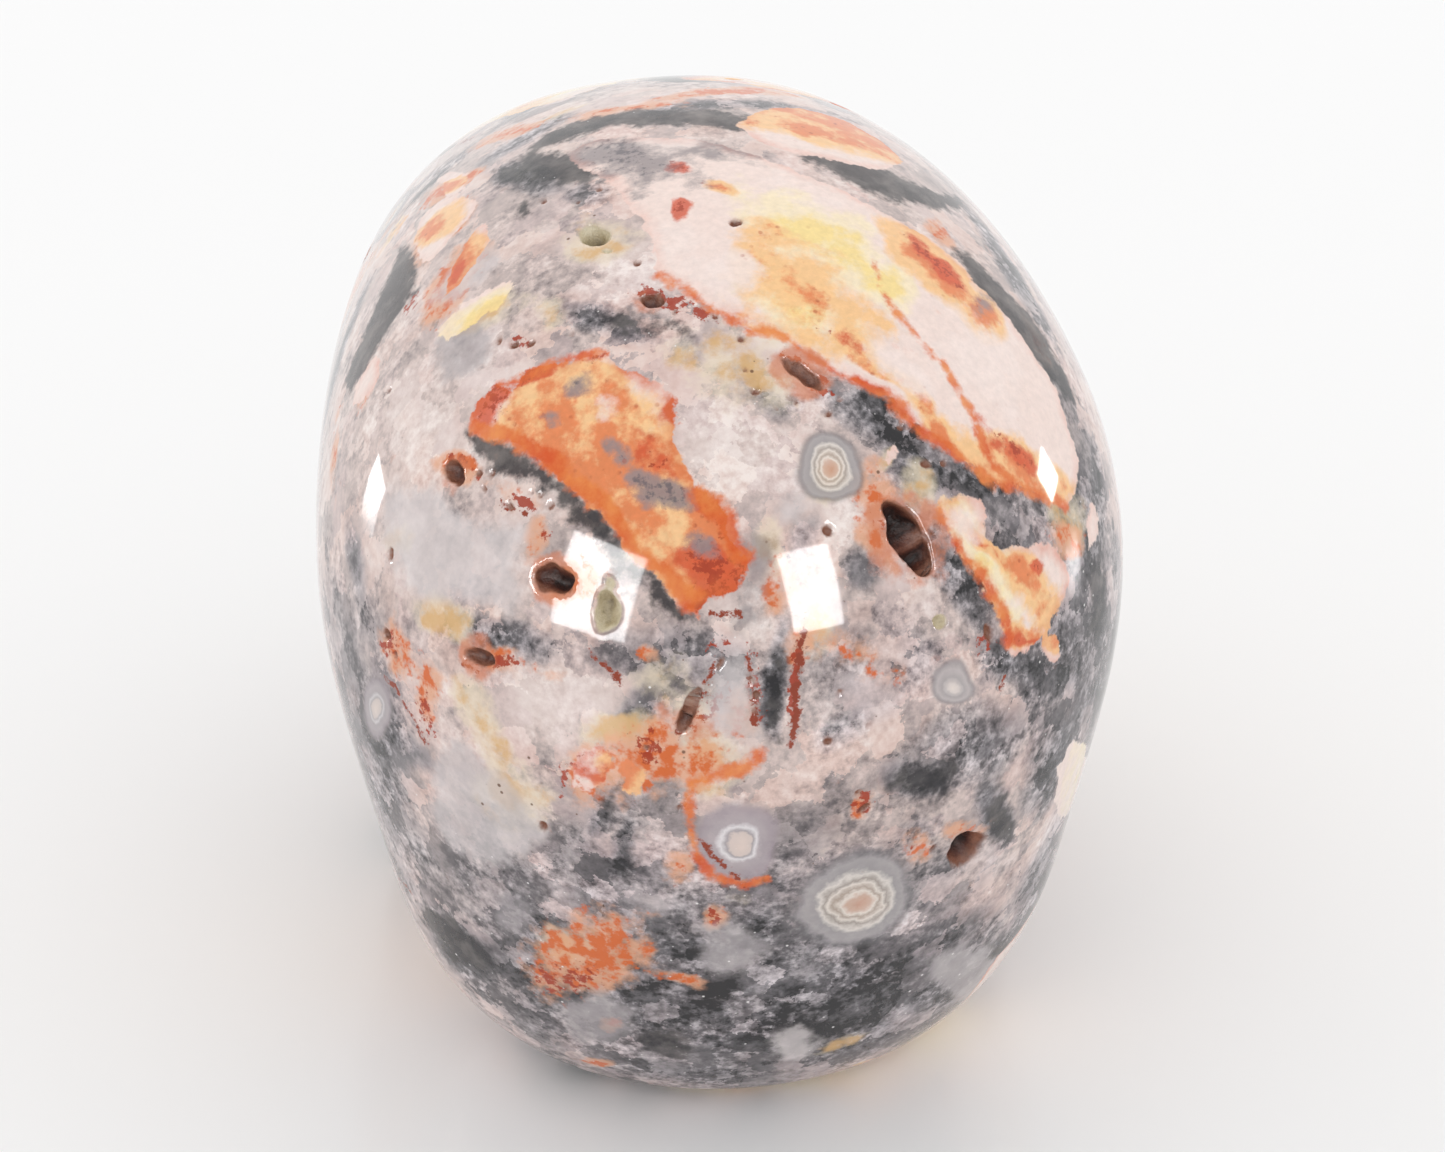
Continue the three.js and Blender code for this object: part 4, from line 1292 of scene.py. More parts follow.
FRAGMENT_CLOUDS = {
    Tint.WARM: (
        Cloud(752, 342, 280, 170, -40, 0.46),
        Cloud(690, 270, 110, 100, 0, 0.4),
        Cloud(930, 295, 200, 54, -42, 1),
        Cloud(1000, 362, 90, 60, -60, 0.85),
        Cloud(930, 520, 280, 34, -52, 0.65),
        Cloud(850, 440, 260, 30, -36, 0.7),
        Cloud(1050, 590, 170, 80, -32, 1),
        Cloud(1100, 620, 70, 80, 0, 0.6),
        Cloud(620, 178, 60, 24, -20, 0.8),
        Cloud(450, 560, 420, 210, -42, 1),
        Cloud(600, 700, 170, 170, 0, 1),
        Cloud(1060, 745, 90, 60, -70, 0.85),
        Cloud(1000, 690, 150, 22, -42, 0.9),
        Cloud(1090, 790, 60, 80, 0, 0.7),
        Cloud(1060, 830, 90, 40, -20, 0.9),
        Cloud(240, 295, 130, 60, 60, 1),
        Cloud(215, 230, 120, 60, 40, 0.8),
        Cloud(225, 178, 70, 40, 20, 1),
        Cloud(480, 1030, 90, 80, 0, 0.9),
        Cloud(810, 95, 340, 130, -20, 0.95),
        Cloud(1105, 838, 40, 40, 0, 1),
    ),
    Tint.STRAW: (
        Cloud(760, 250, 270, 110, -32, 1),
        Cloud(820, 300, 150, 70, -50, 0.9),
        Cloud(870, 320, 90, 60, -70, 1),
        Cloud(730, 340, 220, 110, -38, 0.85),
        Cloud(370, 500, 110, 56, -10, 0.7),
        Cloud(480, 520, 60, 50, 0, 0.5),
        Cloud(1000, 720, 220, 110, -48, 0.75),
        Cloud(275, 362, 170, 50, 25, 1),
        Cloud(950, 640, 60, 60, 0, 0.9),
        Cloud(1030, 790, 80, 60, -70, 0.9),
        Cloud(810, 95, 260, 70, -20, 0.9),
        Cloud(1130, 1030, 130, 70, 75, 0.8),
        Cloud(690, 200, 80, 40, -20, 0.5),
    ),
    Tint.RUST: (
        Cloud(560, 148, 46, 22, -10, 1),
        Cloud(556, 215, 36, 34, 0, 1),
        Cloud(790, 400, 110, 80, -45, 0.35),
        Cloud(935, 292, 150, 26, -42, 0.85),
        Cloud(1040, 560, 130, 44, -36, 0.65),
        Cloud(1095, 625, 50, 70, 0, 0.35),
        Cloud(290, 490, 80, 50, 60, 0.85),
        Cloud(560, 500, 60, 50, -60, 0.9),
        Cloud(612, 640, 130, 46, -62, 1),
        Cloud(600, 730, 100, 60, -30, 0.95),
        Cloud(345, 452, 110, 26, 15, 0.9),
        Cloud(520, 570, 90, 60, -40, 0.6),
        Cloud(440, 430, 70, 26, 10, 0.7),
        Cloud(1076, 728, 22, 26, 0, 1),
        Cloud(1062, 838, 60, 24, -20, 0.8),
        Cloud(590, 790, 50, 30, 0, 0.9),
        Cloud(618, 748, 130, 150, 0, 0.85),
        Cloud(240, 300, 60, 20, 60, 0.6),
        Cloud(395, 1030, 70, 30, 85, 0.9),
        Cloud(430, 1010, 110, 90, 0, 0.6),
        Cloud(1000, 690, 90, 10, -42, 0.6),
        Cloud(640, 600, 60, 60, -60, 0.3),
        Cloud(835, 470, 90, 16, -36, 0.5),
    ),
    Tint.SMOKE: (
        Cloud(470, 130, 260, 120, -8, 0.8),
        Cloud(620, 118, 260, 60, -8, 0.6),
        Cloud(412, 470, 60, 46, 0, 0.75),
        Cloud(540, 622, 120, 50, -12, 1),
        Cloud(585, 700, 66, 50, -30, 0.7),
        Cloud(470, 560, 60, 40, -30, 0.5),
        Cloud(380, 520, 70, 30, -20, 0.5),
        Cloud(1000, 340, 60, 60, 0, 0.2),
        Cloud(505, 600, 60, 36, 0, 0.7),
        Cloud(610, 560, 40, 60, 0, 0.3),
    ),
    Tint.PALE: (
        Cloud(880, 445, 150, 56, -46, 0.85),
        Cloud(1000, 430, 200, 140, -58, 0.75),
        Cloud(620, 300, 150, 80, -10, 0.65),
        Cloud(560, 260, 100, 90, 0, 0.6),
        Cloud(975, 660, 80, 56, -30, 0.9),
        Cloud(1040, 780, 50, 50, 0, 0.6),
        Cloud(450, 500, 70, 50, 0, 0.35),
        Cloud(540, 110, 160, 60, 0, 0.6),
        Cloud(740, 180, 140, 60, -20, 0.6),
        Cloud(660, 650, 30, 30, 0, 0.2),
        Cloud(430, 1010, 60, 50, 0, 0.3),
        Cloud(1130, 1030, 110, 60, 75, 0.7),
    ),
}


def sides_of(a: FloatArray, b: FloatArray, points: FloatArray) -> tuple[FloatArray, FloatArray]:
    """Distances from flat points to the segment a-b, and how far along it each nearest place is.

    Args:
        a: The segment's start.
        b: The segment's end.
        points: Flat points.

    Returns:
        Distances, and shares from 0 to 1.
    """
    axis = b - a
    t = np.clip((points - a) @ axis / (axis @ axis + 1e-12), 0.0, 1.0)
    return length(points - a - t[:, None] * axis), t


def inside_by(outline: FloatArray, points: FloatArray) -> FloatArray:
    """How far inside a flat outline each point lies, less than 0 outside it.

    The distance is to the nearest side. A point is inside when a level line from it crosses the
    outline an odd number of times.
    """
    nearest = np.full(len(points), np.inf)
    is_inside = np.zeros(len(points), dtype=bool)
    for a, b in zip(outline, np.roll(outline, -1, axis=0)):
        nearest = np.minimum(nearest, sides_of(a, b, points)[0])
        spans = (a[1] > points[:, 1]) != (b[1] > points[:, 1])
        rise = b[1] - a[1] if abs(b[1] - a[1]) > 1e-9 else 1e-9
        is_inside ^= spans & (points[:, 0] < a[0] + (points[:, 1] - a[1]) / rise * (b[0] - a[0]))
    return np.where(is_inside, nearest, -nearest)


def along_path(path: FloatArray, points: FloatArray) -> FloatArray:
    """Distances from flat points to a line of segments."""
    return np.minimum.reduce([sides_of(a, b, points)[0] for a, b in zip(path, path[1:])])


@dataclass(frozen=True)
class Oval:
    """A flat oval: its middle and the ends of its two half sides."""

    middle: FloatArray
    half_long: FloatArray
    half_wide: FloatArray

    def share(self, points: FloatArray) -> FloatArray:
        """Distance from the middle as a share of the oval's own radius that way."""
        solved = np.linalg.inv(np.stack([self.half_long, self.half_wide], axis=1))
        return length((points - self.middle) @ solved.T)


@dataclass
class Markings:
    """The stone's marks, worked out at the vertices: traced ones where the photograph looks, then seeded.

    Traced outlines are laid on a flat chart of the head. The chart keeps each place's direction from
    the photograph's line of sight and makes its angle from that line a distance, so an outline near
    the photographed edge keeps its natural shape and goes on round the side.
    """

    carving: Carving
    points: FloatArray
    chart_radius: float = 20.0
    # On the chart: where traced marks fade out, and where seeded ones begin and are whole.
    seen_until: float = 28.0
    seen_no_more: float = 34.0
    seeded_from: float = 24.0
    all_seeded: float = 29.0
    wander: float = 0.22
    wander_size: float = 1.3
    away: float = -9.0
    most_stretch: float = 1.8
    hidden_shards: int = 64
    pixels_per_mm: float = 24.0
    seed: int = 20

    def __post_init__(self) -> None:
        """Charts the points, and finds which of them the photograph sees."""
        self.rng = np.random.default_rng(self.seed)
        self.flat = self.chart(self.points)
        self.flat[:, 0] += self.wander * value_noise(self.points / self.wander_size, 1)
        self.flat[:, 1] += self.wander * value_noise(self.points / self.wander_size, 2)
        off_axis = length(self.flat)
        self.seen = 1.0 - smooth_step(off_axis, self.seen_until, self.seen_no_more)
        self.seeded = smooth_step(off_axis, self.seeded_from, self.all_seeded)
        self.past_clouds = smooth_step(off_axis, self.seeded_from + 2.0, self.all_seeded + 2.5)
        self.values = {channel: np.zeros(len(self.points)) for channel in Channel}

    def chart(self, points: FloatArray) -> FloatArray:
        """The points on the flat chart: angle from the line of sight, times the chart's radius."""
        right, up, forward = self.carving.eye.axes()
        q = unit(points - np.array(self.carving.inside))
        x, y = q @ right, q @ up
        angle = np.arccos(np.clip(-(q @ forward), -1.0, 1.0))
        scale = self.chart_radius * angle / (np.hypot(x, y) + 1e-9)
        return np.stack([x * scale, y * scale], axis=-1)

    def traced(self, pixels: tuple[Pixel, ...]) -> FloatArray:
        """Pixels of the photograph, cast onto the head and charted."""
        return self.chart(self.carving.eye.cast(np.array(pixels, dtype=float), self.carving.whole))

    def oval(self, at: Pixel, long: float, wide: float, turn: float) -> Oval:
        """An oval traced in the photograph, charted with its foreshortening undone.

        Args:
            at: Its middle pixel.
            long: Its full length in pixels.
            wide: Its full width in pixels.
            turn: Degrees by which its length turns up from level.

        Returns:
            The charted oval.
        """
        c, s = math.cos(math.radians(turn)), math.sin(math.radians(turn))
        small = 0.2
        reach = np.array([(0, 0), (c * long, -s * long), (s * wide, c * wide)]) * small / 2.0
        charted = self.traced(tuple(map(tuple, np.array(at) + reach)))
        halves = (charted[1:] - charted[0]) / small
        # Near the photographed edge the stretch is held back.
        most = self.most_stretch * np.array([long, wide]) / (2.0 * self.pixels_per_mm)
        halves *= np.minimum(1.0, most / length(halves))[:, None]
        return Oval(charted[0], halves[0], halves[1])

    def merge(self, traced: FloatArray, seeded: FloatArray) -> tuple[FloatArray, npt.NDArray[np.bool_]]:
        """Merges traced marks with seeded ones, each shrinking away where the other takes over.

        Args:
            traced: Depths inside the traced marks.
            seeded: Depths inside the seeded marks.

        Returns:
            The greater depth, and whether it is a traced mark's.
        """
        shrink = 5.0
        traced = traced - shrink * (1.0 - self.seen)
        seeded = seeded - shrink * (1.0 - self.seeded)
        return np.maximum(traced, seeded), traced > seeded

    def deepest(self, patches: tuple[Patch, ...]) -> tuple[FloatArray, FloatArray]:
        """How deep inside any of the patches each point is, and that patch's level."""
        depth = np.full(len(self.points), self.away)
        level = np.zeros(len(self.points))
        for patch in patches:
            outline = self.traced(patch.outline)
            near = length(self.flat - outline.mean(axis=0)) < length(outline - outline.mean(axis=0)).max() + 3.0
            inside = inside_by(outline, self.flat[near])
            wins = inside > depth[near]
            level[near] = np.where(wins, patch.level, level[near])
            depth[near] = np.where(wins, inside, depth[near])
        return depth, level

    def hidden_middles(self, count: int) -> FloatArray:
        """Random places on the surface, mostly where the photograph doesn't look."""
        rays = unit(self.rng.normal(size=(4 * count, 3)))
        rays = rays[rays @ self.carving.eye.back() < 0.35][:count]
        return self.carving.reach_out(rays)

    def shards(self, count: int, smallest: float, largest: float) -> tuple[FloatArray, IntArray]:
        """Depths in random convex shards, each cut by seven planes, and which shard is deepest."""
        depth = np.full(len(self.points), self.away)
        which = np.zeros(len(self.points), dtype=np.int64)
        wobble = 0.35 * value_noise(self.points / 1.1, 9)
        for number, middle in enumerate(self.hidden_middles(count)):
            size = smallest + (largest - smallest) * self.rng.random() ** 1.6
            normals = unit(self.rng.normal(size=(7, 3)))
            offsets = size * (0.35 + 0.65 * self.rng.random(7))
            near = length(self.points - middle) < 2.6 * size
            inside = (offsets - (self.points[near] - middle) @ normals.T).min(axis=1) + wobble[near]
            inside = np.minimum(inside, 1.6 * size - length(self.points[near] - middle))
            wins = inside > depth[near]
            which[near] = np.where(wins, number, which[near])
            depth[near] = np.where(wins, inside, depth[near])
        return depth, which

    def cloud_value(self, clouds: tuple[Cloud, ...], floor: float, seed: int) -> FloatArray:
        """A tint's strength: ovals that fall away from their middles.

        Args:
            clouds: The tint's ovals.
            floor: The strength between the ovals.
            seed: Picks the noise that breaks the ovals up.

        Returns:
            Strengths, about 0.5 where a cloud's edge shows.
        """
        seen = np.full(len(self.points), floor)
        for cloud in clouds:
            at = (cloud.x / ENLARGED_BY + ENLARGED_LEFT, cloud.y / ENLARGED_BY + ENLARGED_TOP)
            share = self.oval(at, cloud.long / ENLARGED_BY, cloud.wide / ENLARGED_BY, cloud.turn).share(self.flat)
            strength = (0.35 + 0.65 * cloud.strength) * (1.0 - 0.5 * share**2)
            seen = np.maximum(seen, np.clip(strength, floor, 1.0))
        return seen + 0.14 * value_noise(self.points / 1.6, seed)

    def noise_cloud(self, size: float, rarity: float, seed: int) -> FloatArray:
        """A random tint strength: two sizes of noise about the middle, lowered by its rarity."""
        wide = value_noise(self.points / size, seed)
        fine = value_noise(self.points / (0.38 * size), seed + 1)
        return np.clip(0.5 - rarity + 0.6 * wide + 0.3 * fine, 0.0, 1.0)

    def mark_edges(self) -> None:
        """Fragments, charcoal and milky patches, as depths inside their edges."""
        traced, rim = self.deepest(FRAGMENTS)
        shard, which = self.shards(self.hidden_shards, 1.2, 6.5)
        self.values[Channel.FRAGMENT], self.is_traced = self.merge(traced, shard)
        rims = self.rng.random(self.hidden_shards) ** 1.5
        self.values[Channel.RIM] = np.where(self.is_traced, rim, rims[which])
        self.kinds = which % 4

        traced, _ = self.deepest(CHARCOAL)
        beside = self.beside_shards(shard)
        self.values[Channel.CHARCOAL], _ = self.merge(traced, beside)

        traced, light = self.deepest(MILK)
        blobs, which = self.shards(34, 1.5, 4.5)
        self.values[Channel.MILK], is_traced = self.merge(traced, blobs)
        lights = 0.1 + 0.8 * self.rng.random(34)
        self.values[Channel.MILK_LIGHT] = np.where(is_traced, light, lights[which])

    def beside_shards(self, shard: FloatArray) -> FloatArray:
        """Charcoal beside some shards: a strip outside their edges where a broad noise is high."""
        here = value_noise(self.points / 5.0, 31) - 0.15
        strip = 0.75 - np.abs(shard + 0.6)
        sheet = 1.0 - 5.0 * np.abs(value_noise(self.points / 9.0, 33))
        there = value_noise(self.points / 7.0, 35) - 0.35
        return np.maximum(np.minimum(strip, 3.0 * here), np.minimum(sheet, 4.0 * there))

    def mark_strokes(self) -> None:
        """Orange bands and red cracks, as how far inside their half width each point lies."""
        for channel, strokes, seed in ((Channel.BAND, BANDS, 41), (Channel.CRACK, CRACKS, 43)):
            depth = np.full(len(self.points), self.away)
            for stroke in strokes:
                path = self.traced(stroke.path)
                depth = np.maximum(depth, stroke.width / 2.0 - along_path(path, self.flat))
            sheet = 0.12 - 4.0 * np.abs(value_noise(self.points / 7.0, seed))
            there = 3.0 * (value_noise(self.points / 4.5, seed + 1) - 0.35)
            self.values[channel], _ = self.merge(depth, np.minimum(sheet, there))

    def mark_clouds(self) -> None:
        """Soft tints in the ground and in the fragments."""
        ground = {
            Tint.WARM: (Channel.GROUND_WARM, 0.24),
            Tint.STRAW: (Channel.GROUND_STRAW, 0.2),
            Tint.RUST: (Channel.GROUND_RUST, 0.28),
            Tint.SMOKE: (Channel.GROUND_SMOKE, 0.02),
            Tint.PALE: (Channel.GROUND_PALE, 0.04),
        }
        for seed, (tint, (channel, rarity)) in enumerate(ground.items()):
            traced = self.cloud_value(GROUND_CLOUDS[tint], 0.12, 61 + seed)
            seeded = self.noise_cloud(5.5, rarity, 51 + 3 * seed)
            self.values[channel] = traced + (seeded - traced) * self.past_clouds
        # How much of each tint four kinds of shard hold: ember, sunset, cream and flesh pink.
        inside = {
            Tint.WARM: (Channel.FRAGMENT_WARM, (0.75, 0.5, 0.3, 0.25)),
            Tint.STRAW: (Channel.FRAGMENT_STRAW, (0.2, 0.6, 0.75, 0.2)),
            Tint.RUST: (Channel.FRAGMENT_RUST, (0.5, 0.25, 0.15, 0.35)),
            Tint.SMOKE: (Channel.FRAGMENT_SMOKE, (0.35, 0.15, 0.1, 0.15)),
            Tint.PALE: (Channel.FRAGMENT_PALE, (0.1, 0.4, 0.4, 0.6)),
        }
        for seed, (tint, (channel, shares)) in enumerate(inside.items()):
            traced = self.cloud_value(FRAGMENT_CLOUDS[tint], 0.05, 81 + seed)
            seeded = np.array(shares)[self.kinds] + 0.45 * value_noise(self.points / 2.4, 71 + seed)
            self.values[channel] = np.where(self.is_traced, traced, seeded)

    def mark_orbs(self, hidden_count: int) -> None:
        """Ringed orbs: each point's distance from its orb's middle, as a share of the orb's radius."""
        nearest = np.full(len(self.points), 3.0)
        kind = np.zeros(len(self.points))
        cream = np.zeros(len(self.points))
        for orb in ORBS:
            share = self.oval(orb.at, orb.long, orb.wide, orb.turn).share(self.flat)
            wins = share < nearest
            nearest = np.where(wins, share, nearest)
            kind = np.where(wins, orb.kind, kind)
            cream = np.where(wins, float(orb.is_cream), cream)
        nearest += 3.0 * (1.0 - self.seen)
        wobble = 0.12 * value_noise(self.points / 1.2, 91)
        for middle in self.hidden_middles(hidden_count):
            radius = 0.8 + 1.9 * self.rng.random() ** 2
            squeeze = unit(self.rng.normal(size=(1, 3)))[0]
            q = self.points - middle
            q = q + 0.35 * (q @ squeeze)[:, None] * squeeze
            share = length(q) / radius + wobble + 3.0 * (1.0 - self.seeded)
            wins = share < nearest
            nearest = np.where(wins, share, nearest)
            kind = np.where(wins, self.rng.random(), kind)
            cream = np.where(wins, float(self.rng.random() < 0.4), cream)
        self.values[Channel.ORB_RADIUS] = nearest
        self.values[Channel.ORB_KIND] = kind
        self.values[Channel.CREAM_ORB] = cream

    def mark_pits(self) -> None:
        """How hollow each place is, how deep for the painted shade in the pits, and how near a pit that stains the
        stone round it.
        """
        depth = -self.carving.whole(self.points)
        self.values[Channel.HOLLOW] = smooth_step(depth, 0.02, 0.14)
        self.values[Channel.DEEP] = smooth_step(depth, 0.15, 0.8)
        pits = self.carving.pits
        centres = np.array([pit.at for pit in pits])
        for pit, near in zip(pits, close_to(self.points, centres, 3.2)):
            away = length(self.points[near] - pit.at) - pit.radii[0]
            halo = np.clip(1.0 - away / (0.3 + 0.3 * pit.radii[0]), 0.0, 1.0) * pit.stain
            self.values[Channel.STAIN][near] = np.maximum(self.values[Channel.STAIN][near], halo)
            if pit.is_sand:
                is_near = smooth_step(-away, -0.5, -0.2)
                self.values[Channel.SAND_WALL][near] = np.maximum(self.values[Channel.SAND_WALL][near], is_near)

    def paint_groove_shade(self) -> None:
        """Painted shade in narrow grooves and creases: less room a little way out than that way is long."""
        out = 0.7
        _, outward = self.carving.probe(self.points, self.carving.whole)
        room = self.carving.whole(self.points + out * outward) / out
        self.values[Channel.GROOVE] = smooth_step(1.0 - room, 0.12, 0.6)

    def store(self, mesh: bpy.types.Mesh) -> None:
        """Writes the measures to the mesh, three to an attribute."""
        packed: dict[str, FloatArray] = {}
        for channel, values in self.values.items():
            name, place = channel.value
            packed.setdefault(name, np.zeros((len(self.points), 3)))[:, place] = values
        for name, rows in packed.items():
            attribute = mesh.attributes.new(name, "FLOAT_VECTOR", "POINT")
            attribute.data.foreach_set("vector", rows.astype(np.float32).ravel())


def linear(code: str) -> tuple[float, float, float, float]:
    """An sRGB hex colour as linear light: c / 12.92 when dark, else ((c + 0.055) / 1.055) ** 2.4."""
    shares = [int(code[i : i + 2], 16) / 255.0 for i in (1, 3, 5)]
    light = [c / 12.92 if c <= 0.04045 else ((c + 0.055) / 1.055) ** 2.4 for c in shares]
    return light[0], light[1], light[2], 1.0


def per_mm(size: float) -> float:
    """The texture scale, on coordinates in metres, of a pattern whose cell is this many millimetres."""
    return 1.0 / (size * MM)


@dataclass
class Wiring:
    """A node tree being wired up."""

    tree: bpy.types.NodeTree

    def add(
        self,
        kind: str,
        feeds: dict[int | str, Any],
        stops: tuple[tuple[float, str], ...] = (),
        out: int | str | None = None,
        **settings: Any,
    ) -> bpy.types.NodeSocket:
        """Adds a node, links or sets its inputs, and sets its options.

        Args:
            kind: The node's type, without its family's prefix.
            feeds: What goes into each input: another node's output, or a value.
            stops: Places and sRGB colours, for a colour ramp.
            out: The output to give back, if not the first, or a colour Mix node's colour.
            settings: The node's options.

        Returns:
            The output.
        """
        node = self.tree.nodes.new("ShaderNode" + kind)
        for name, value in settings.items():
            setattr(node, name, value)
        for place, value in feeds.items():
            if isinstance(value, bpy.types.NodeSocket):
                self.tree.links.new(value, node.inputs[place])
            else:
                node.inputs[place].default_value = linear(value) if isinstance(value, str) else value
        for number, (place, colour) in enumerate(stops):
            elements = node.color_ramp.elements
            element = elements[number] if number < 2 else elements.new(place)
            element.position = place
            element.color = linear(colour)
        if out is None:
            out = MIX_RESULT if settings.get("data_type") == "RGBA" else 0
        return node.outputs[out]

    def finish(self, kind: str, surface: bpy.types.NodeSocket) -> None:
        """Links the tree's result to its output node."""
        self.tree.links.new(surface, self.tree.nodes.new("ShaderNodeOutput" + kind).inputs[0])


@dataclass(frozen=True)
class Layer:
    """One colour laid over those below it, where a channel and its noise rise past an edge."""

    channel: Channel
    colour: str
    noise: tuple[str, int]
    wobble: float
    low: float
    high: float
    strength: float = 1.0


Reading = dict[Channel, bpy.types.NodeSocket]
Noises = dict[str, list[bpy.types.NodeSocket]]


@dataclass(frozen=True)
class AgateFinish:
    """Polished crazy lace agate: sugary quartz with sharp iron-orange fragments, charcoal and orbs."""

    name: str = "polished_crazy_lace_agate"
    # Sugary quartz from its darkest grains to its whitest.
    quartz: tuple[tuple[float, str], ...] = (
        (0.0, "#2b282b"),
        (0.28, "#716869"),
        (0.5, "#b0a19e"),
        (0.7, "#dac7c1"),
        (1.0, "#f9ede8"),
    )
    ground_layers: tuple[Layer, ...] = (
        Layer(Channel.GROUND_STRAW, "#ecdcc2", ("blotch", 0), 1.5, 0.4, 0.9, 0.7),
        Layer(Channel.GROUND_STRAW, "#dba95f", ("blotch", 1), 1.6, 0.62, 0.98, 0.7),
        Layer(Channel.GROUND_WARM, "#e9ac88", ("blotch", 1), 1.6, 0.42, 0.85, 0.8),
        Layer(Channel.GROUND_WARM, "#d9641c", ("edge", 2), 1.9, 0.68, 1.0, 0.9),
        Layer(Channel.GROUND_RUST, "#a83614", ("grit", 2), 1.9, 0.72, 0.9, 0.92),
    )
    fragment_layers: tuple[Layer, ...] = (
        Layer(Channel.FRAGMENT_STRAW, "#fdebc8", ("blotch", 2), 1.3, 0.3, 0.75, 0.9),
        Layer(Channel.FRAGMENT_STRAW, "#fcdf8e", ("blotch", 1), 1.2, 0.72, 1.02, 0.8),
        Layer(Channel.FRAGMENT_WARM, "#fccb92", ("blotch", 0), 1.1, 0.28, 0.6, 0.95),
        Layer(Channel.FRAGMENT_WARM, "#e98855", ("blotch", 1), 1.7, 0.62, 0.95, 0.95),
        Layer(Channel.FRAGMENT_RUST, "#d95a33", ("blotch", 2), 1.5, 0.45, 0.75, 0.9),
        Layer(Channel.FRAGMENT_RUST, "#a93b20", ("grit", 0), 2.0, 0.8, 1.0, 0.8),
        Layer(Channel.FRAGMENT_SMOKE, "#958b8d", ("blotch", 1), 1.5, 0.42, 0.8, 0.85),
        Layer(Channel.FRAGMENT_SMOKE, "#55525a", ("grit", 1), 1.6, 0.8, 1.1, 0.7),
        Layer(Channel.FRAGMENT_PALE, "#f9e7e0", ("blotch", 0), 1.4, 0.44, 0.85, 0.85),
    )
    grey_orb: tuple[tuple[float, str], ...] = (
        (0.0, "#ece2da"),
        (0.22, "#ddd4d0"),
        (0.45, "#a8a2a3"),
        (0.66, "#bfb8b8"),
        (0.86, "#8f898b"),
        (1.0, "#b3a9a8"),
    )
    cream_orb: tuple[tuple[float, str], ...] = (
        (0.0, "#cf9c83"),
        (0.2, "#d8b8a6"),
        (0.27, "#efe4da"),
        (0.33, "#b9a89b"),
        (0.4, "#ebe1d8"),
        (0.46, "#aca199"),
        (0.54, "#e4dcd5"),
        (0.62, "#a5a0a1"),
        (0.75, "#aea8a9"),
        (0.88, "#757275"),
        (1.0, "#8d888a"),
    )
    lavender_orb: tuple[tuple[float, str], ...] = (
        (0.0, "#e9d6cc"),
        (0.26, "#ddcdc6"),
        (0.31, "#aea6aa"),
        (0.4, "#ebe6e8"),
        (0.5, "#b9aeb2"),
        (0.85, "#aa9da3"),
        (1.0, "#bcaead"),
    )
    pit_roughness: float = 0.55
    polish_roughness: float = 0.06

    def build(self) -> bpy.types.Material:
        """Builds the material's nodes.

        Returns:
            The finished material.
        """
        material = bpy.data.materials.new(self.name)
        material.use_nodes = True
        material.node_tree.nodes.clear()
        w = Wiring(material.node_tree)
        place = w.add("TexCoord", {}, out="Object")
        read = self.channels(w)
        noise = self.noises(w, place)
        ground = self.sugar(w, place, read, noise)
        ground = self.over_patches(w, self.lay(w, ground, self.ground_layers, read, noise), read, noise)
        ground = self.specks(w, place, ground, read)
        inside = w.add("Mix", {0: 0.5, MIX_A: "#faeae3", MIX_B: "#f3d9cf"}, data_type="RGBA")
        inside = self.lay(w, inside, self.fragment_layers, read, noise)
        colour = self.over_fragments(w, place, ground, inside, read, noise)
        colour = self.over_orbs(w, colour, read, noise)
        colour = self.over_strokes(w, colour, read, noise)
        # Painted shade: the grooves between the teeth and other creases are darkened towards a dark warm grey.
        groove_shade_share = w.add("Math", {0: read[Channel.GROOVE], 1: 0.62}, operation="MULTIPLY")
        colour = w.add("Mix", {0: groove_shade_share, MIX_A: colour, MIX_B: "#5a504b"}, data_type="RGBA")
        colour = self.over_pits(w, colour, read, noise)
        w.finish("Material", self.polish(w, colour, read[Channel.HOLLOW], noise))
        return material

    def channels(self, w: Wiring) -> Reading:
        """Reads every channel from the mesh's attributes."""
        parted = {}
        for name in {channel.value[0] for channel in Channel}:
            stored = w.add("Attribute", {}, out="Vector", attribute_name=name)
            parted[name] = w.add("SeparateXYZ", {0: stored}).node
        return {channel: parted[channel.value[0]].outputs[channel.value[1]] for channel in Channel}

    def noises(self, w: Wiring, place: bpy.types.NodeSocket) -> Noises:
        """Four sizes of noise, each with three parts about 0.

        Drifts are 5 mm across, blotches 1.6 mm, edge wobbles 0.7 mm and grit 0.36 mm.
        """
        made = {}
        sizes = (("drift", 5.0, 3.0), ("blotch", 1.6, 6.0), ("edge", 0.7, 3.0), ("grit", 0.36, 4.0))
        for name, size, detail in sizes:
            feeds = {"Vector": place, "Scale": per_mm(size), "Detail": detail, "Roughness": 0.62}
            colour = w.add("TexNoise", feeds, out="Color")
            about = w.add("VectorMath", {0: colour, 1: (0.5, 0.5, 0.5)}, operation="SUBTRACT")
            parts = w.add("SeparateXYZ", {0: about}).node
            made[name] = list(parts.outputs)
        return made

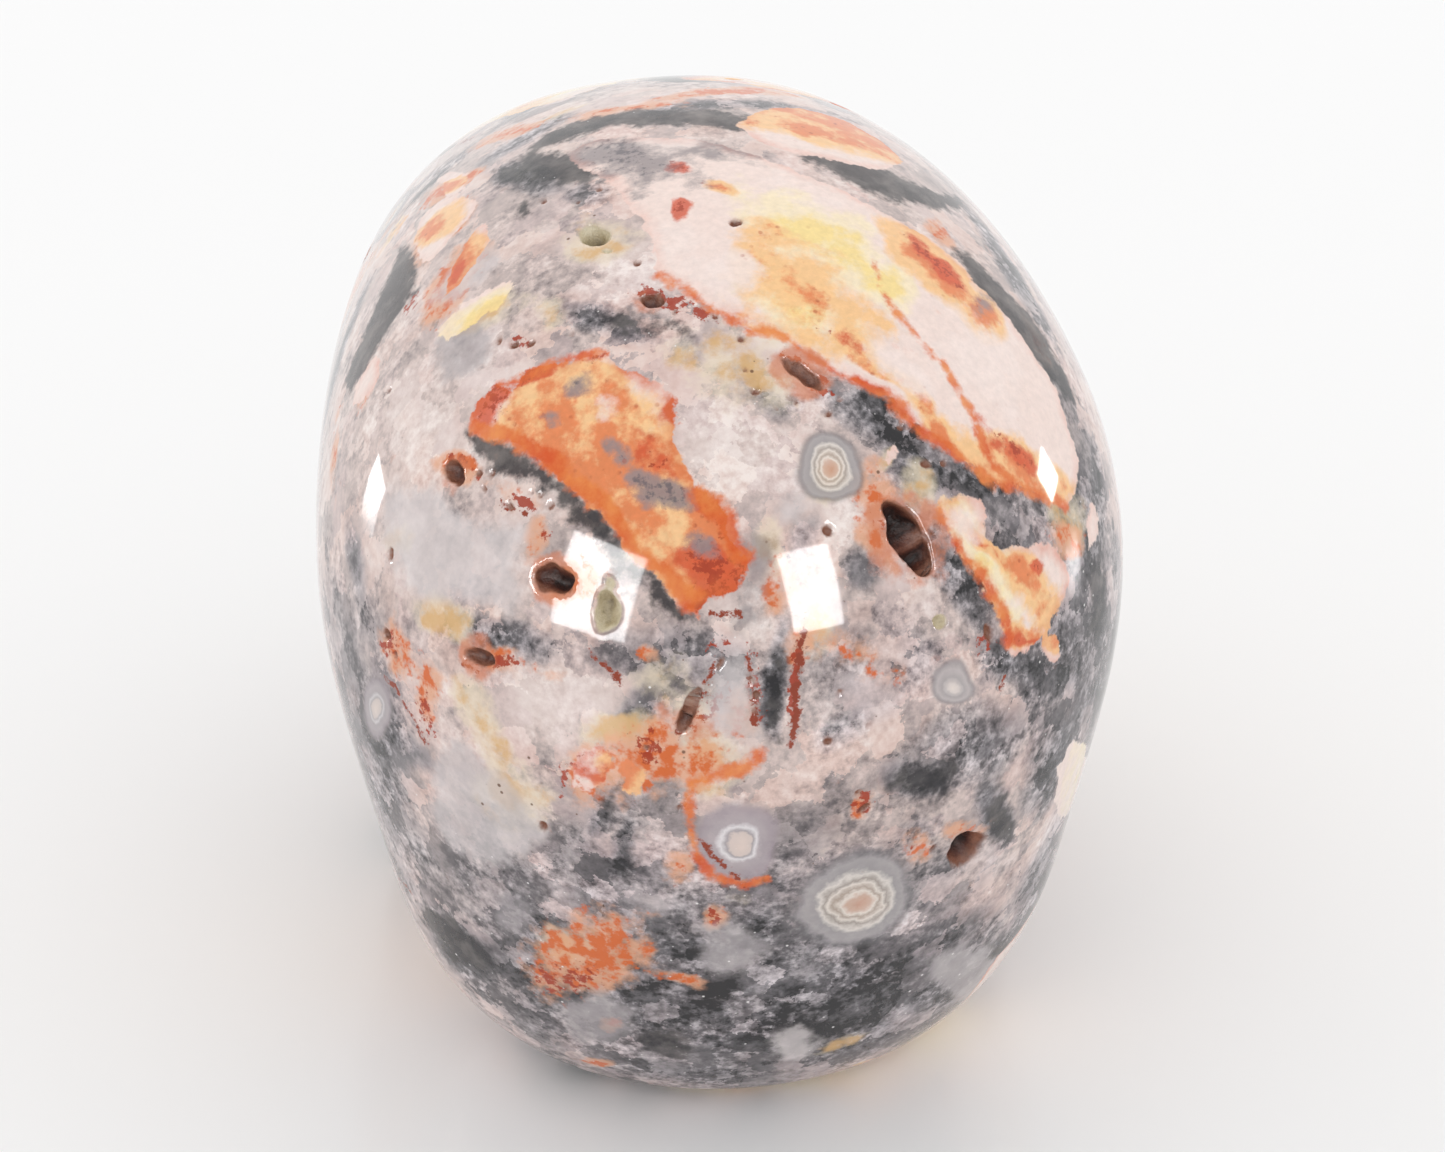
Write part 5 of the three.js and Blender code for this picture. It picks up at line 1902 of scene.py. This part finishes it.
    def sugar(
        self, w: Wiring, place: bpy.types.NodeSocket, read: Reading, noise: Noises
    ) -> bpy.types.NodeSocket:
        """Quartz in bent flakes about 1.5 mm across, some milky and some sugary, some pink and some blue."""
        bend = w.add("CombineXYZ", dict(enumerate(noise["edge"])))
        bent = w.add("VectorMath", {0: bend, 1: (1.8 * MM,) * 3, 2: place}, operation="MULTIPLY_ADD")
        flakes = w.add("TexVoronoi", {"Vector": bent, "Scale": per_mm(1.5)}, out="Color")
        flake = w.add("SeparateXYZ", {0: flakes}).node.outputs
        light = w.add("Math", {0: flake[0], 1: 0.26, 2: -0.13}, operation="MULTIPLY_ADD")
        for size, part, amount in (("blotch", 0, 0.5), ("drift", 2, 0.4)):
            light = w.add("Math", {0: noise[size][part], 1: amount, 2: light}, operation="MULTIPLY_ADD")
        sugary = w.add("Math", {0: flake[1], 1: 0.8, 2: 0.25}, operation="MULTIPLY_ADD")
        for size in ("edge", "grit"):
            grain = w.add("Math", {0: noise[size][0], 1: sugary}, operation="MULTIPLY")
            light = w.add("Math", {0: light, 1: grain}, operation="ADD")
        # Dark drifts, of smoky stone and of painted shade, are the most mottled.
        smoke_and_shade = w.add("Math", {0: read[Channel.GROUND_SMOKE], 1: 1.6}, operation="POWER")
        gain = w.add("Math", {0: smoke_and_shade, 1: 0.85, 2: 0.72}, operation="MULTIPLY_ADD")
        light = w.add("Math", {0: light, 1: gain, 2: 0.68}, operation="MULTIPLY_ADD")
        for socket, amount in ((read[Channel.GROUND_PALE], 0.24), (smoke_and_shade, -0.68)):
            light = w.add("Math", {0: socket, 1: amount, 2: light}, operation="MULTIPLY_ADD")
        quartz = w.add("ValToRGB", {0: light}, stops=self.quartz)
        for part, tint in ((0, "#dcb3a4"), (2, "#b0abb4")):
            feeds = {0: noise["drift"][part], 1: 2.2, 2: flake[part]}
            share = w.add("Math", feeds, operation="MULTIPLY_ADD")
            share = w.add("MapRange", {0: share, 1: 0.45, 2: 1.0, 4: 0.5})
            quartz = w.add("Mix", {0: share, MIX_A: quartz, MIX_B: tint}, data_type="RGBA", blend_type="SOFT_LIGHT")
        # Smoky quartz holds no iron, so it is nearly colourless, and the painted shade on the lower part and the sides
        # greys the same way.
        share = w.add("MapRange", {0: read[Channel.GROUND_SMOKE], 1: 0.35, 2: 0.8, 4: 0.75})
        feeds = {0: share, MIX_A: quartz, MIX_B: "#8d8b90"}
        return w.add("Mix", feeds, data_type="RGBA", blend_type="COLOR")

    def lay(
        self,
        w: Wiring,
        under: bpy.types.NodeSocket,
        layers: tuple[Layer, ...],
        read: Reading,
        noise: Noises,
    ) -> bpy.types.NodeSocket:
        """Lays the layers over a colour in order, each with a ragged edge."""
        for layer in layers:
            feeds = {0: noise[layer.noise[0]][layer.noise[1]], 1: layer.wobble, 2: read[layer.channel]}
            level = w.add("Math", feeds, operation="MULTIPLY_ADD")
            feeds = {0: level, 1: layer.low, 2: layer.high, 4: layer.strength}
            share = w.add("MapRange", feeds, interpolation_type="SMOOTHSTEP")
            under = w.add("Mix", {0: share, MIX_A: under, MIX_B: layer.colour}, data_type="RGBA")
        return under

    def share_inside(
        self, w: Wiring, depth: bpy.types.NodeSocket, wobble: bpy.types.NodeSocket, edge: Triple
    ) -> tuple[bpy.types.NodeSocket, bpy.types.NodeSocket]:
        """Whether a place is inside a wandering edge.

        Args:
            w: The wiring.
            depth: Depth inside the edge, in millimetres.
            wobble: The noise that moves the edge.
            edge: How far it moves it, and the depths at which the inside begins and is whole.

        Returns:
            The wandering depth, and the share that is inside.
        """
        level = w.add("Math", {0: wobble, 1: edge[0], 2: depth}, operation="MULTIPLY_ADD")
        return level, w.add("MapRange", {0: level, 1: edge[1], 2: edge[2]}, interpolation_type="SMOOTHSTEP")

    def over_patches(
        self, w: Wiring, ground: bpy.types.NodeSocket, read: Reading, noise: Noises
    ) -> bpy.types.NodeSocket:
        """Milky patches with soft edges, then charcoal with grainy ones and pale grains in it."""
        _, share = self.share_inside(w, read[Channel.MILK], noise["blotch"][1], (2.2, -0.35, 0.5))
        share = w.add("Math", {0: share, 1: 0.72}, operation="MULTIPLY")
        lightness = w.add("Math", {0: noise["blotch"][2], 1: 0.7, 2: read[Channel.MILK_LIGHT]}, operation="MULTIPLY_ADD")
        milk = w.add("ValToRGB", {0: lightness}, stops=((0.0, "#5f5c60"), (1.0, "#f0e7e6"), (0.5, "#b2abad")))
        ground = w.add("Mix", {0: share, MIX_A: ground, MIX_B: milk}, data_type="RGBA")
        _, share = self.share_inside(w, read[Channel.CHARCOAL], noise["edge"][2], (1.6, -0.2, 0.4))
        share = w.add("Math", {0: share, 1: 0.92}, operation="MULTIPLY")
        light = w.add("MapRange", {0: noise["blotch"][2], 1: -0.05, 2: 0.25})
        charcoal = w.add("Mix", {0: light, MIX_A: "#29272b", MIX_B: "#78726f"}, data_type="RGBA")
        return w.add("Mix", {0: share, MIX_A: ground, MIX_B: charcoal}, data_type="RGBA")

    def specks(
        self, w: Wiring, place: bpy.types.NodeSocket, ground: bpy.types.NodeSocket, read: Reading
    ) -> bpy.types.NodeSocket:
        """Brown pin pricks up to 0.1 mm where the stone is straw, and painted white glints where it is smoky."""
        for size, colour, where, widest in (
            (0.62, "#6b4a35", read[Channel.GROUND_STRAW], 0.2),
            # Painted glints: white dots in the colour stand in for sparkle in the smoky quartz.
            (0.5, "#f4f1f0", read[Channel.GROUND_SMOKE], 0.15),
        ):
            cells = w.add("TexVoronoi", {"Vector": place, "Scale": per_mm(size)}, out="Distance").node
            chance = w.add("SeparateXYZ", {0: cells.outputs["Color"]})
            reach = w.add("Math", {0: where, 1: 0.5, 2: chance}, operation="MULTIPLY_ADD")
            reach = w.add("MapRange", {0: reach, 1: 0.85, 2: 1.4, 4: widest})
            gap = w.add("Math", {0: reach, 1: cells.outputs["Distance"]}, operation="SUBTRACT")
            share = w.add("MapRange", {0: gap, 1: -0.02, 2: 0.05, 4: 0.85})
            ground = w.add("Mix", {0: share, MIX_A: ground, MIX_B: colour}, data_type="RGBA")
        return ground

    def over_fragments(
        self,
        w: Wiring,
        place: bpy.types.NodeSocket,
        ground: bpy.types.NodeSocket,
        inside: bpy.types.NodeSocket,
        read: Reading,
        noise: Noises,
    ) -> bpy.types.NodeSocket:
        """Sharp fragments: mottled, freckled red where they are orange, with an orange rim."""
        level, share = self.share_inside(w, read[Channel.FRAGMENT], noise["edge"][0], (0.8, -0.04, 0.08))
        mottle = w.add("MapRange", {0: noise["grit"][1], 1: -0.25, 2: 0.25, 3: 0.9, 4: 1.07})
        inside = w.add("VectorMath", {0: inside, 3: mottle}, operation="SCALE")
        cells = w.add("TexVoronoi", {"Vector": place, "Scale": per_mm(0.55)}, out="Distance")
        freckle = w.add("MapRange", {0: cells, 1: 0.12, 2: 0.24, 3: 1.0, 4: 0.0})
        where = w.add("MapRange", {0: noise["blotch"][1], 1: 0.0, 2: 0.15})
        freckle = w.add("Math", {0: freckle, 1: where}, operation="MULTIPLY")
        freckle = w.add("Math", {0: freckle, 1: read[Channel.FRAGMENT_WARM]}, operation="MULTIPLY")
        inside = w.add("Mix", {0: freckle, MIX_A: inside, MIX_B: "#b04c2c"}, data_type="RGBA")
        edge = w.add("MapRange", {0: level, 1: 0.1, 2: 0.6, 3: 1.0, 4: 0.0})
        broken = w.add("MapRange", {0: noise["blotch"][2], 1: -0.12, 2: 0.12, 3: 0.25})
        edge = w.add("Math", {0: edge, 1: broken}, operation="MULTIPLY")
        rim = w.add("Math", {0: edge, 1: read[Channel.RIM]}, operation="MULTIPLY")
        inside = w.add("Mix", {0: rim, MIX_A: inside, MIX_B: "#d9642f"}, data_type="RGBA")
        return w.add("Mix", {0: share, MIX_A: ground, MIX_B: inside}, data_type="RGBA")

    def over_orbs(
        self, w: Wiring, colour: bpy.types.NodeSocket, read: Reading, noise: Noises
    ) -> bpy.types.NodeSocket:
        """Orbs: rings of grey, cream or lavender by the distance from their middles."""
        radius = w.add("Math", {0: noise["edge"][1], 1: 0.24, 2: read[Channel.ORB_RADIUS]}, operation="MULTIPLY_ADD")
        grey = w.add("ValToRGB", {0: radius}, stops=self.grey_orb)
        cream = w.add("ValToRGB", {0: radius}, stops=self.cream_orb)
        lavender = w.add("ValToRGB", {0: radius}, stops=self.lavender_orb)
        ringed = w.add("Mix", {0: read[Channel.ORB_KIND], MIX_A: grey, MIX_B: lavender}, data_type="RGBA")
        ringed = w.add("Mix", {0: read[Channel.CREAM_ORB], MIX_A: ringed, MIX_B: cream}, data_type="RGBA")
        feeds = {0: radius, 1: 0.76, 2: 1.06, 3: 0.9, 4: 0.0}
        share = w.add("MapRange", feeds, interpolation_type="SMOOTHSTEP")
        return w.add("Mix", {0: share, MIX_A: colour, MIX_B: ringed}, data_type="RGBA")

    def over_strokes(
        self, w: Wiring, colour: bpy.types.NodeSocket, read: Reading, noise: Noises
    ) -> bpy.types.NodeSocket:
        """Orange bands with soft edges, and thin dark red cracks."""
        _, share = self.share_inside(w, read[Channel.BAND], noise["edge"][1], (0.8, -0.2, 0.12))
        share = w.add("Math", {0: share, 1: 0.9}, operation="MULTIPLY")
        light = w.add("MapRange", {0: noise["blotch"][0], 1: -0.15, 2: 0.2})
        orange = w.add("Mix", {0: light, MIX_A: "#db5318", MIX_B: "#ef944c"}, data_type="RGBA")
        colour = w.add("Mix", {0: share, MIX_A: colour, MIX_B: orange}, data_type="RGBA")
        _, share = self.share_inside(w, read[Channel.CRACK], noise["grit"][0], (0.9, -0.06, 0.06))
        return w.add("Mix", {0: share, MIX_A: colour, MIX_B: "#94402a"}, data_type="RGBA")

    def over_pits(
        self, w: Wiring, colour: bpy.types.NodeSocket, read: Reading, noise: Noises
    ) -> bpy.types.NodeSocket:
        """Rust-stained stone round the pits, and their brown or sandy walls, with painted shade that makes them darkest
        where deep.
        """
        level = w.add("Math", {0: noise["blotch"][2], 1: 2.6, 2: read[Channel.STAIN]}, operation="MULTIPLY_ADD")
        stained = w.add("MapRange", {0: level, 1: 0.4, 2: 1.05, 4: 0.7}, interpolation_type="SMOOTHSTEP")
        colour = w.add("Mix", {0: stained, MIX_A: colour, MIX_B: "#d57c52"}, data_type="RGBA")
        # Painted shade: the brown and sandy walls darken the deeper they lie in a pit.
        deep = w.add("Math", {0: noise["grit"][2], 1: 1.2, 2: read[Channel.DEEP]}, operation="MULTIPLY_ADD")
        brown = w.add("ValToRGB", {0: deep}, stops=((0.0, "#8e5c46"), (1.0, "#2b130d"), (0.5, "#5c2e1f")))
        sand = w.add("ValToRGB", {0: deep}, stops=((0.0, "#ded3b8"), (1.0, "#75664a"), (0.5, "#b9aa89")))
        wall = w.add("Mix", {0: read[Channel.SAND_WALL], MIX_A: brown, MIX_B: sand}, data_type="RGBA")
        return w.add("Mix", {0: read[Channel.HOLLOW], MIX_A: colour, MIX_B: wall}, data_type="RGBA")

    def polish(
        self, w: Wiring, colour: bpy.types.NodeSocket, hollow: bpy.types.NodeSocket, noise: Noises
    ) -> bpy.types.NodeSocket:
        """A hard wet-looking polish over faintly translucent stone, rough in its pits."""
        rough = w.add("MapRange", {0: hollow, 3: self.polish_roughness, 4: self.pit_roughness})
        grain = w.add("Math", {0: noise["grit"][0], 1: hollow}, operation="MULTIPLY")
        bump = w.add("Bump", {"Height": grain, "Strength": 0.8, "Distance": 0.15 * MM})
        feeds = {
            "Base Color": colour,
            "Roughness": rough,
            "IOR": 1.5,
            "Specular IOR Level": 0.34,
            "Normal": bump,
            "Subsurface Weight": 0.1,
            "Subsurface Radius": (1.0, 0.8, 0.7),
            "Subsurface Scale": 0.4 * MM,
        }
        return w.add("BsdfPrincipled", feeds)


@dataclass(frozen=True)
class FloorFinish:
    """A smooth white acrylic sheet, glossy enough for a faint mirror image."""

    name: str = "white_acrylic_sheet"
    colour: str = "#fbfbfb"

    def build(self) -> bpy.types.Material:
        """Builds the floor's material."""
        material = bpy.data.materials.new(self.name)
        material.use_nodes = True
        material.node_tree.nodes.clear()
        w = Wiring(material.node_tree)
        feeds = {"Base Color": self.colour, "Roughness": 0.16, "Specular IOR Level": 0.3}
        w.finish("Material", w.add("BsdfPrincipled", feeds))
        return material


@dataclass(frozen=True)
class Softbox:
    """A studio softbox, placed so that its reflection shows at a given pixel of the photograph.

    Its sides are millimetres and its power is watts. The room gives the even light, and the softboxes
    only the gloss.
    """

    name: str
    shows_at: Pixel
    width: float
    height: float
    power: float
    away: float = 420.0


@dataclass
class Studio:
    """The white sheet, the white room, the softboxes and the camera."""

    carving: Carving
    shift: FloatArray
    floor_half: float = 1.6
    room_light: float = 1.03
    # The room is dim at the end where the camera stands.
    dim_end_light: float = 0.87
    softboxes: tuple[Softbox, ...] = (
        Softbox("softbox_left", (596, 590), 170, 210, 2.3),
        Softbox("softbox_right", (812, 590), 110, 190, 1.4),
        Softbox("softbox_side", (1048, 475), 50, 50, 0.22),
        Softbox("softbox_far_left", (368, 515), 60, 120, 0.4),
        Softbox("strip_light", (808, 760), 110, 16, 0.11),
    )

    def lay_floor(self) -> bpy.types.Object:
        """The sheet that the carving rests on: a flat square."""
        half = self.floor_half
        mesh = bpy.data.meshes.new("floor")
        mesh.from_pydata([(-half, -half, 0), (half, -half, 0), (half, half, 0), (-half, half, 0)], [], [(0, 1, 2, 3)])
        mesh.materials.append(FloorFinish().build())
        floor = bpy.data.objects.new("floor", mesh)
        bpy.context.scene.collection.objects.link(floor)
        return floor

    def light(self) -> None:
        """The room's even light, and the softboxes."""
        world = bpy.data.worlds.new("white_room")
        world.use_nodes = True
        world.node_tree.nodes.clear()
        w = Wiring(world.node_tree)
        way = w.add("TexCoord", {}, out="Object")
        toward = tuple(self.carving.eye.back())
        facing = w.add("VectorMath", {0: way, 1: toward}, out="Value", operation="DOT_PRODUCT")
        feeds = {0: facing, 1: 0.5, 2: 0.95, 3: self.room_light, 4: self.dim_end_light}
        strength = w.add("MapRange", feeds, interpolation_type="SMOOTHSTEP")
        w.finish("World", w.add("Background", {"Color": "#ffffff", "Strength": strength}))
        bpy.context.scene.world = world
        for box in self.softboxes:
            at = self.carving.eye.cast(np.array([box.shows_at], dtype=float), self.carving.whole)
            _, outward = self.carving.probe(at, self.carving.whole)
            to_eye = unit(self.carving.eye.eye() - at)
            mirrored = 2.0 * (to_eye * outward).sum() * outward - to_eye
            place = (at + mirrored * box.away)[0] + self.shift
            lamp = bpy.data.lights.new(box.name, "AREA")
            lamp.shape = "RECTANGLE"
            lamp.size = box.width * MM
            lamp.size_y = box.height * MM
            lamp.energy = box.power
            held = bpy.data.objects.new(box.name, lamp)
            held.visible_diffuse = False
            held.location = Vector(place * MM)
            held.rotation_euler = Vector(mirrored[0]).to_track_quat("Z", "Y").to_euler()
            bpy.context.scene.collection.objects.link(held)

    def place_camera(self) -> None:
        """The camera at the photograph's own place."""
        eye = self.carving.eye
        camera = bpy.data.cameras.new("camera")
        camera.sensor_width = SENSOR_WIDTH
        camera.lens = eye.focal_pixels * SENSOR_WIDTH / PHOTO_WIDTH
        camera.clip_start = 0.01
        camera.clip_end = 20.0
        held = bpy.data.objects.new("camera", camera)
        held.location = Vector((eye.eye() + self.shift) * MM)
        toward = Vector(eye.aim() - eye.eye())
        held.rotation_euler = toward.to_track_quat("-Z", "Y").to_euler()
        bpy.context.scene.collection.objects.link(held)
        bpy.context.scene.camera = held
        bpy.context.scene.view_settings.view_transform = "Standard"


def fine_spots(carving: Carving) -> tuple[tuple[FloatArray, float, float], ...]:
    """Where the orbs, bands and cracks need smaller triangles: places, radii and sides."""
    spots = []
    for orb in ORBS:
        at = carving.eye.cast(np.array([orb.at], dtype=float), carving.whole)[0]
        spots.append((at, 0.6 * max(orb.long, orb.wide) / 24.0, 0.3))
    for strokes, side in ((BANDS, 0.36), (CRACKS, 0.24)):
        for stroke in strokes:
            path = np.array(stroke.path, dtype=float)
            middles = (path[1:] + path[:-1]) / 2.0
            for at in carving.eye.cast(np.concatenate([path, middles]), carving.whole):
                spots.append((at, 0.5 * stroke.width + 0.55, side))
    return tuple(spots)


@dataclass
class Skull:
    """The dressed skull: its fine mesh, its marks and its finish."""

    carving: Carving
    fineness: Fineness
    rounds: int = 6
    hidden_pits: int = 190
    hidden_orbs: int = 26
    piece_name: str = "agate_skull"

    def build(self) -> bpy.types.Object:
        """Builds the piece, with its box's middle where the solid's is and its ground at 0.

        Returns:
            The piece, which stands for the CAD node.
        """
        surface = mesh_carving(self.carving, self.fineness, self.rounds)
        points = surface.points
        lowest, highest = (np.array(corner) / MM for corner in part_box("skull"))
        self.shift = (lowest + highest) / 2.0 - (points.min(axis=0) + points.max(axis=0)) / 2.0
        self.shift[2] = lowest[2] - points[:, 2].min()
        mesh = bpy.data.meshes.new(self.piece_name)
        mesh.from_pydata((points + self.shift) * MM, [], surface.triangles)
        mesh.polygons.foreach_set("use_smooth", np.ones(len(surface.triangles), dtype=bool))
        markings = Markings(self.carving, points)
        markings.mark_edges()
        markings.mark_strokes()
        markings.mark_clouds()
        markings.mark_orbs(self.hidden_orbs)
        markings.mark_pits()
        markings.paint_groove_shade()
        markings.store(mesh)
        mesh.materials.append(AgateFinish().build())
        piece = bpy.data.objects.new(self.piece_name, mesh)
        bpy.context.scene.collection.objects.link(piece)
        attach(piece, "root")
        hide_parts("skull")
        log.info("%s: %d triangles, moved by %s mm", self.piece_name, len(surface.triangles), np.round(self.shift, 3))
        return piece


def corners(box: tuple[Vector, Vector]) -> list[list[float]]:
    """A box's two corners as plain lists."""
    return [list(corner) for corner in box]


def main() -> None:
    logging.basicConfig(level=logging.INFO, format="%(name)s: %(message)s")
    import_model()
    carving = Carving()
    carving.open_pits(Skull.hidden_pits, np.random.default_rng(7))
    fineness = Fineness(coarser=1.0, spots=fine_spots(carving))
    skull = Skull(carving, fineness)
    skull.build()
    studio = Studio(carving, skull.shift)
    studio.lay_floor()
    studio.light()
    studio.place_camera()
    log.info("studio: floor, %d softboxes and camera", len(studio.softboxes))


if __name__ == "__main__":
    main()
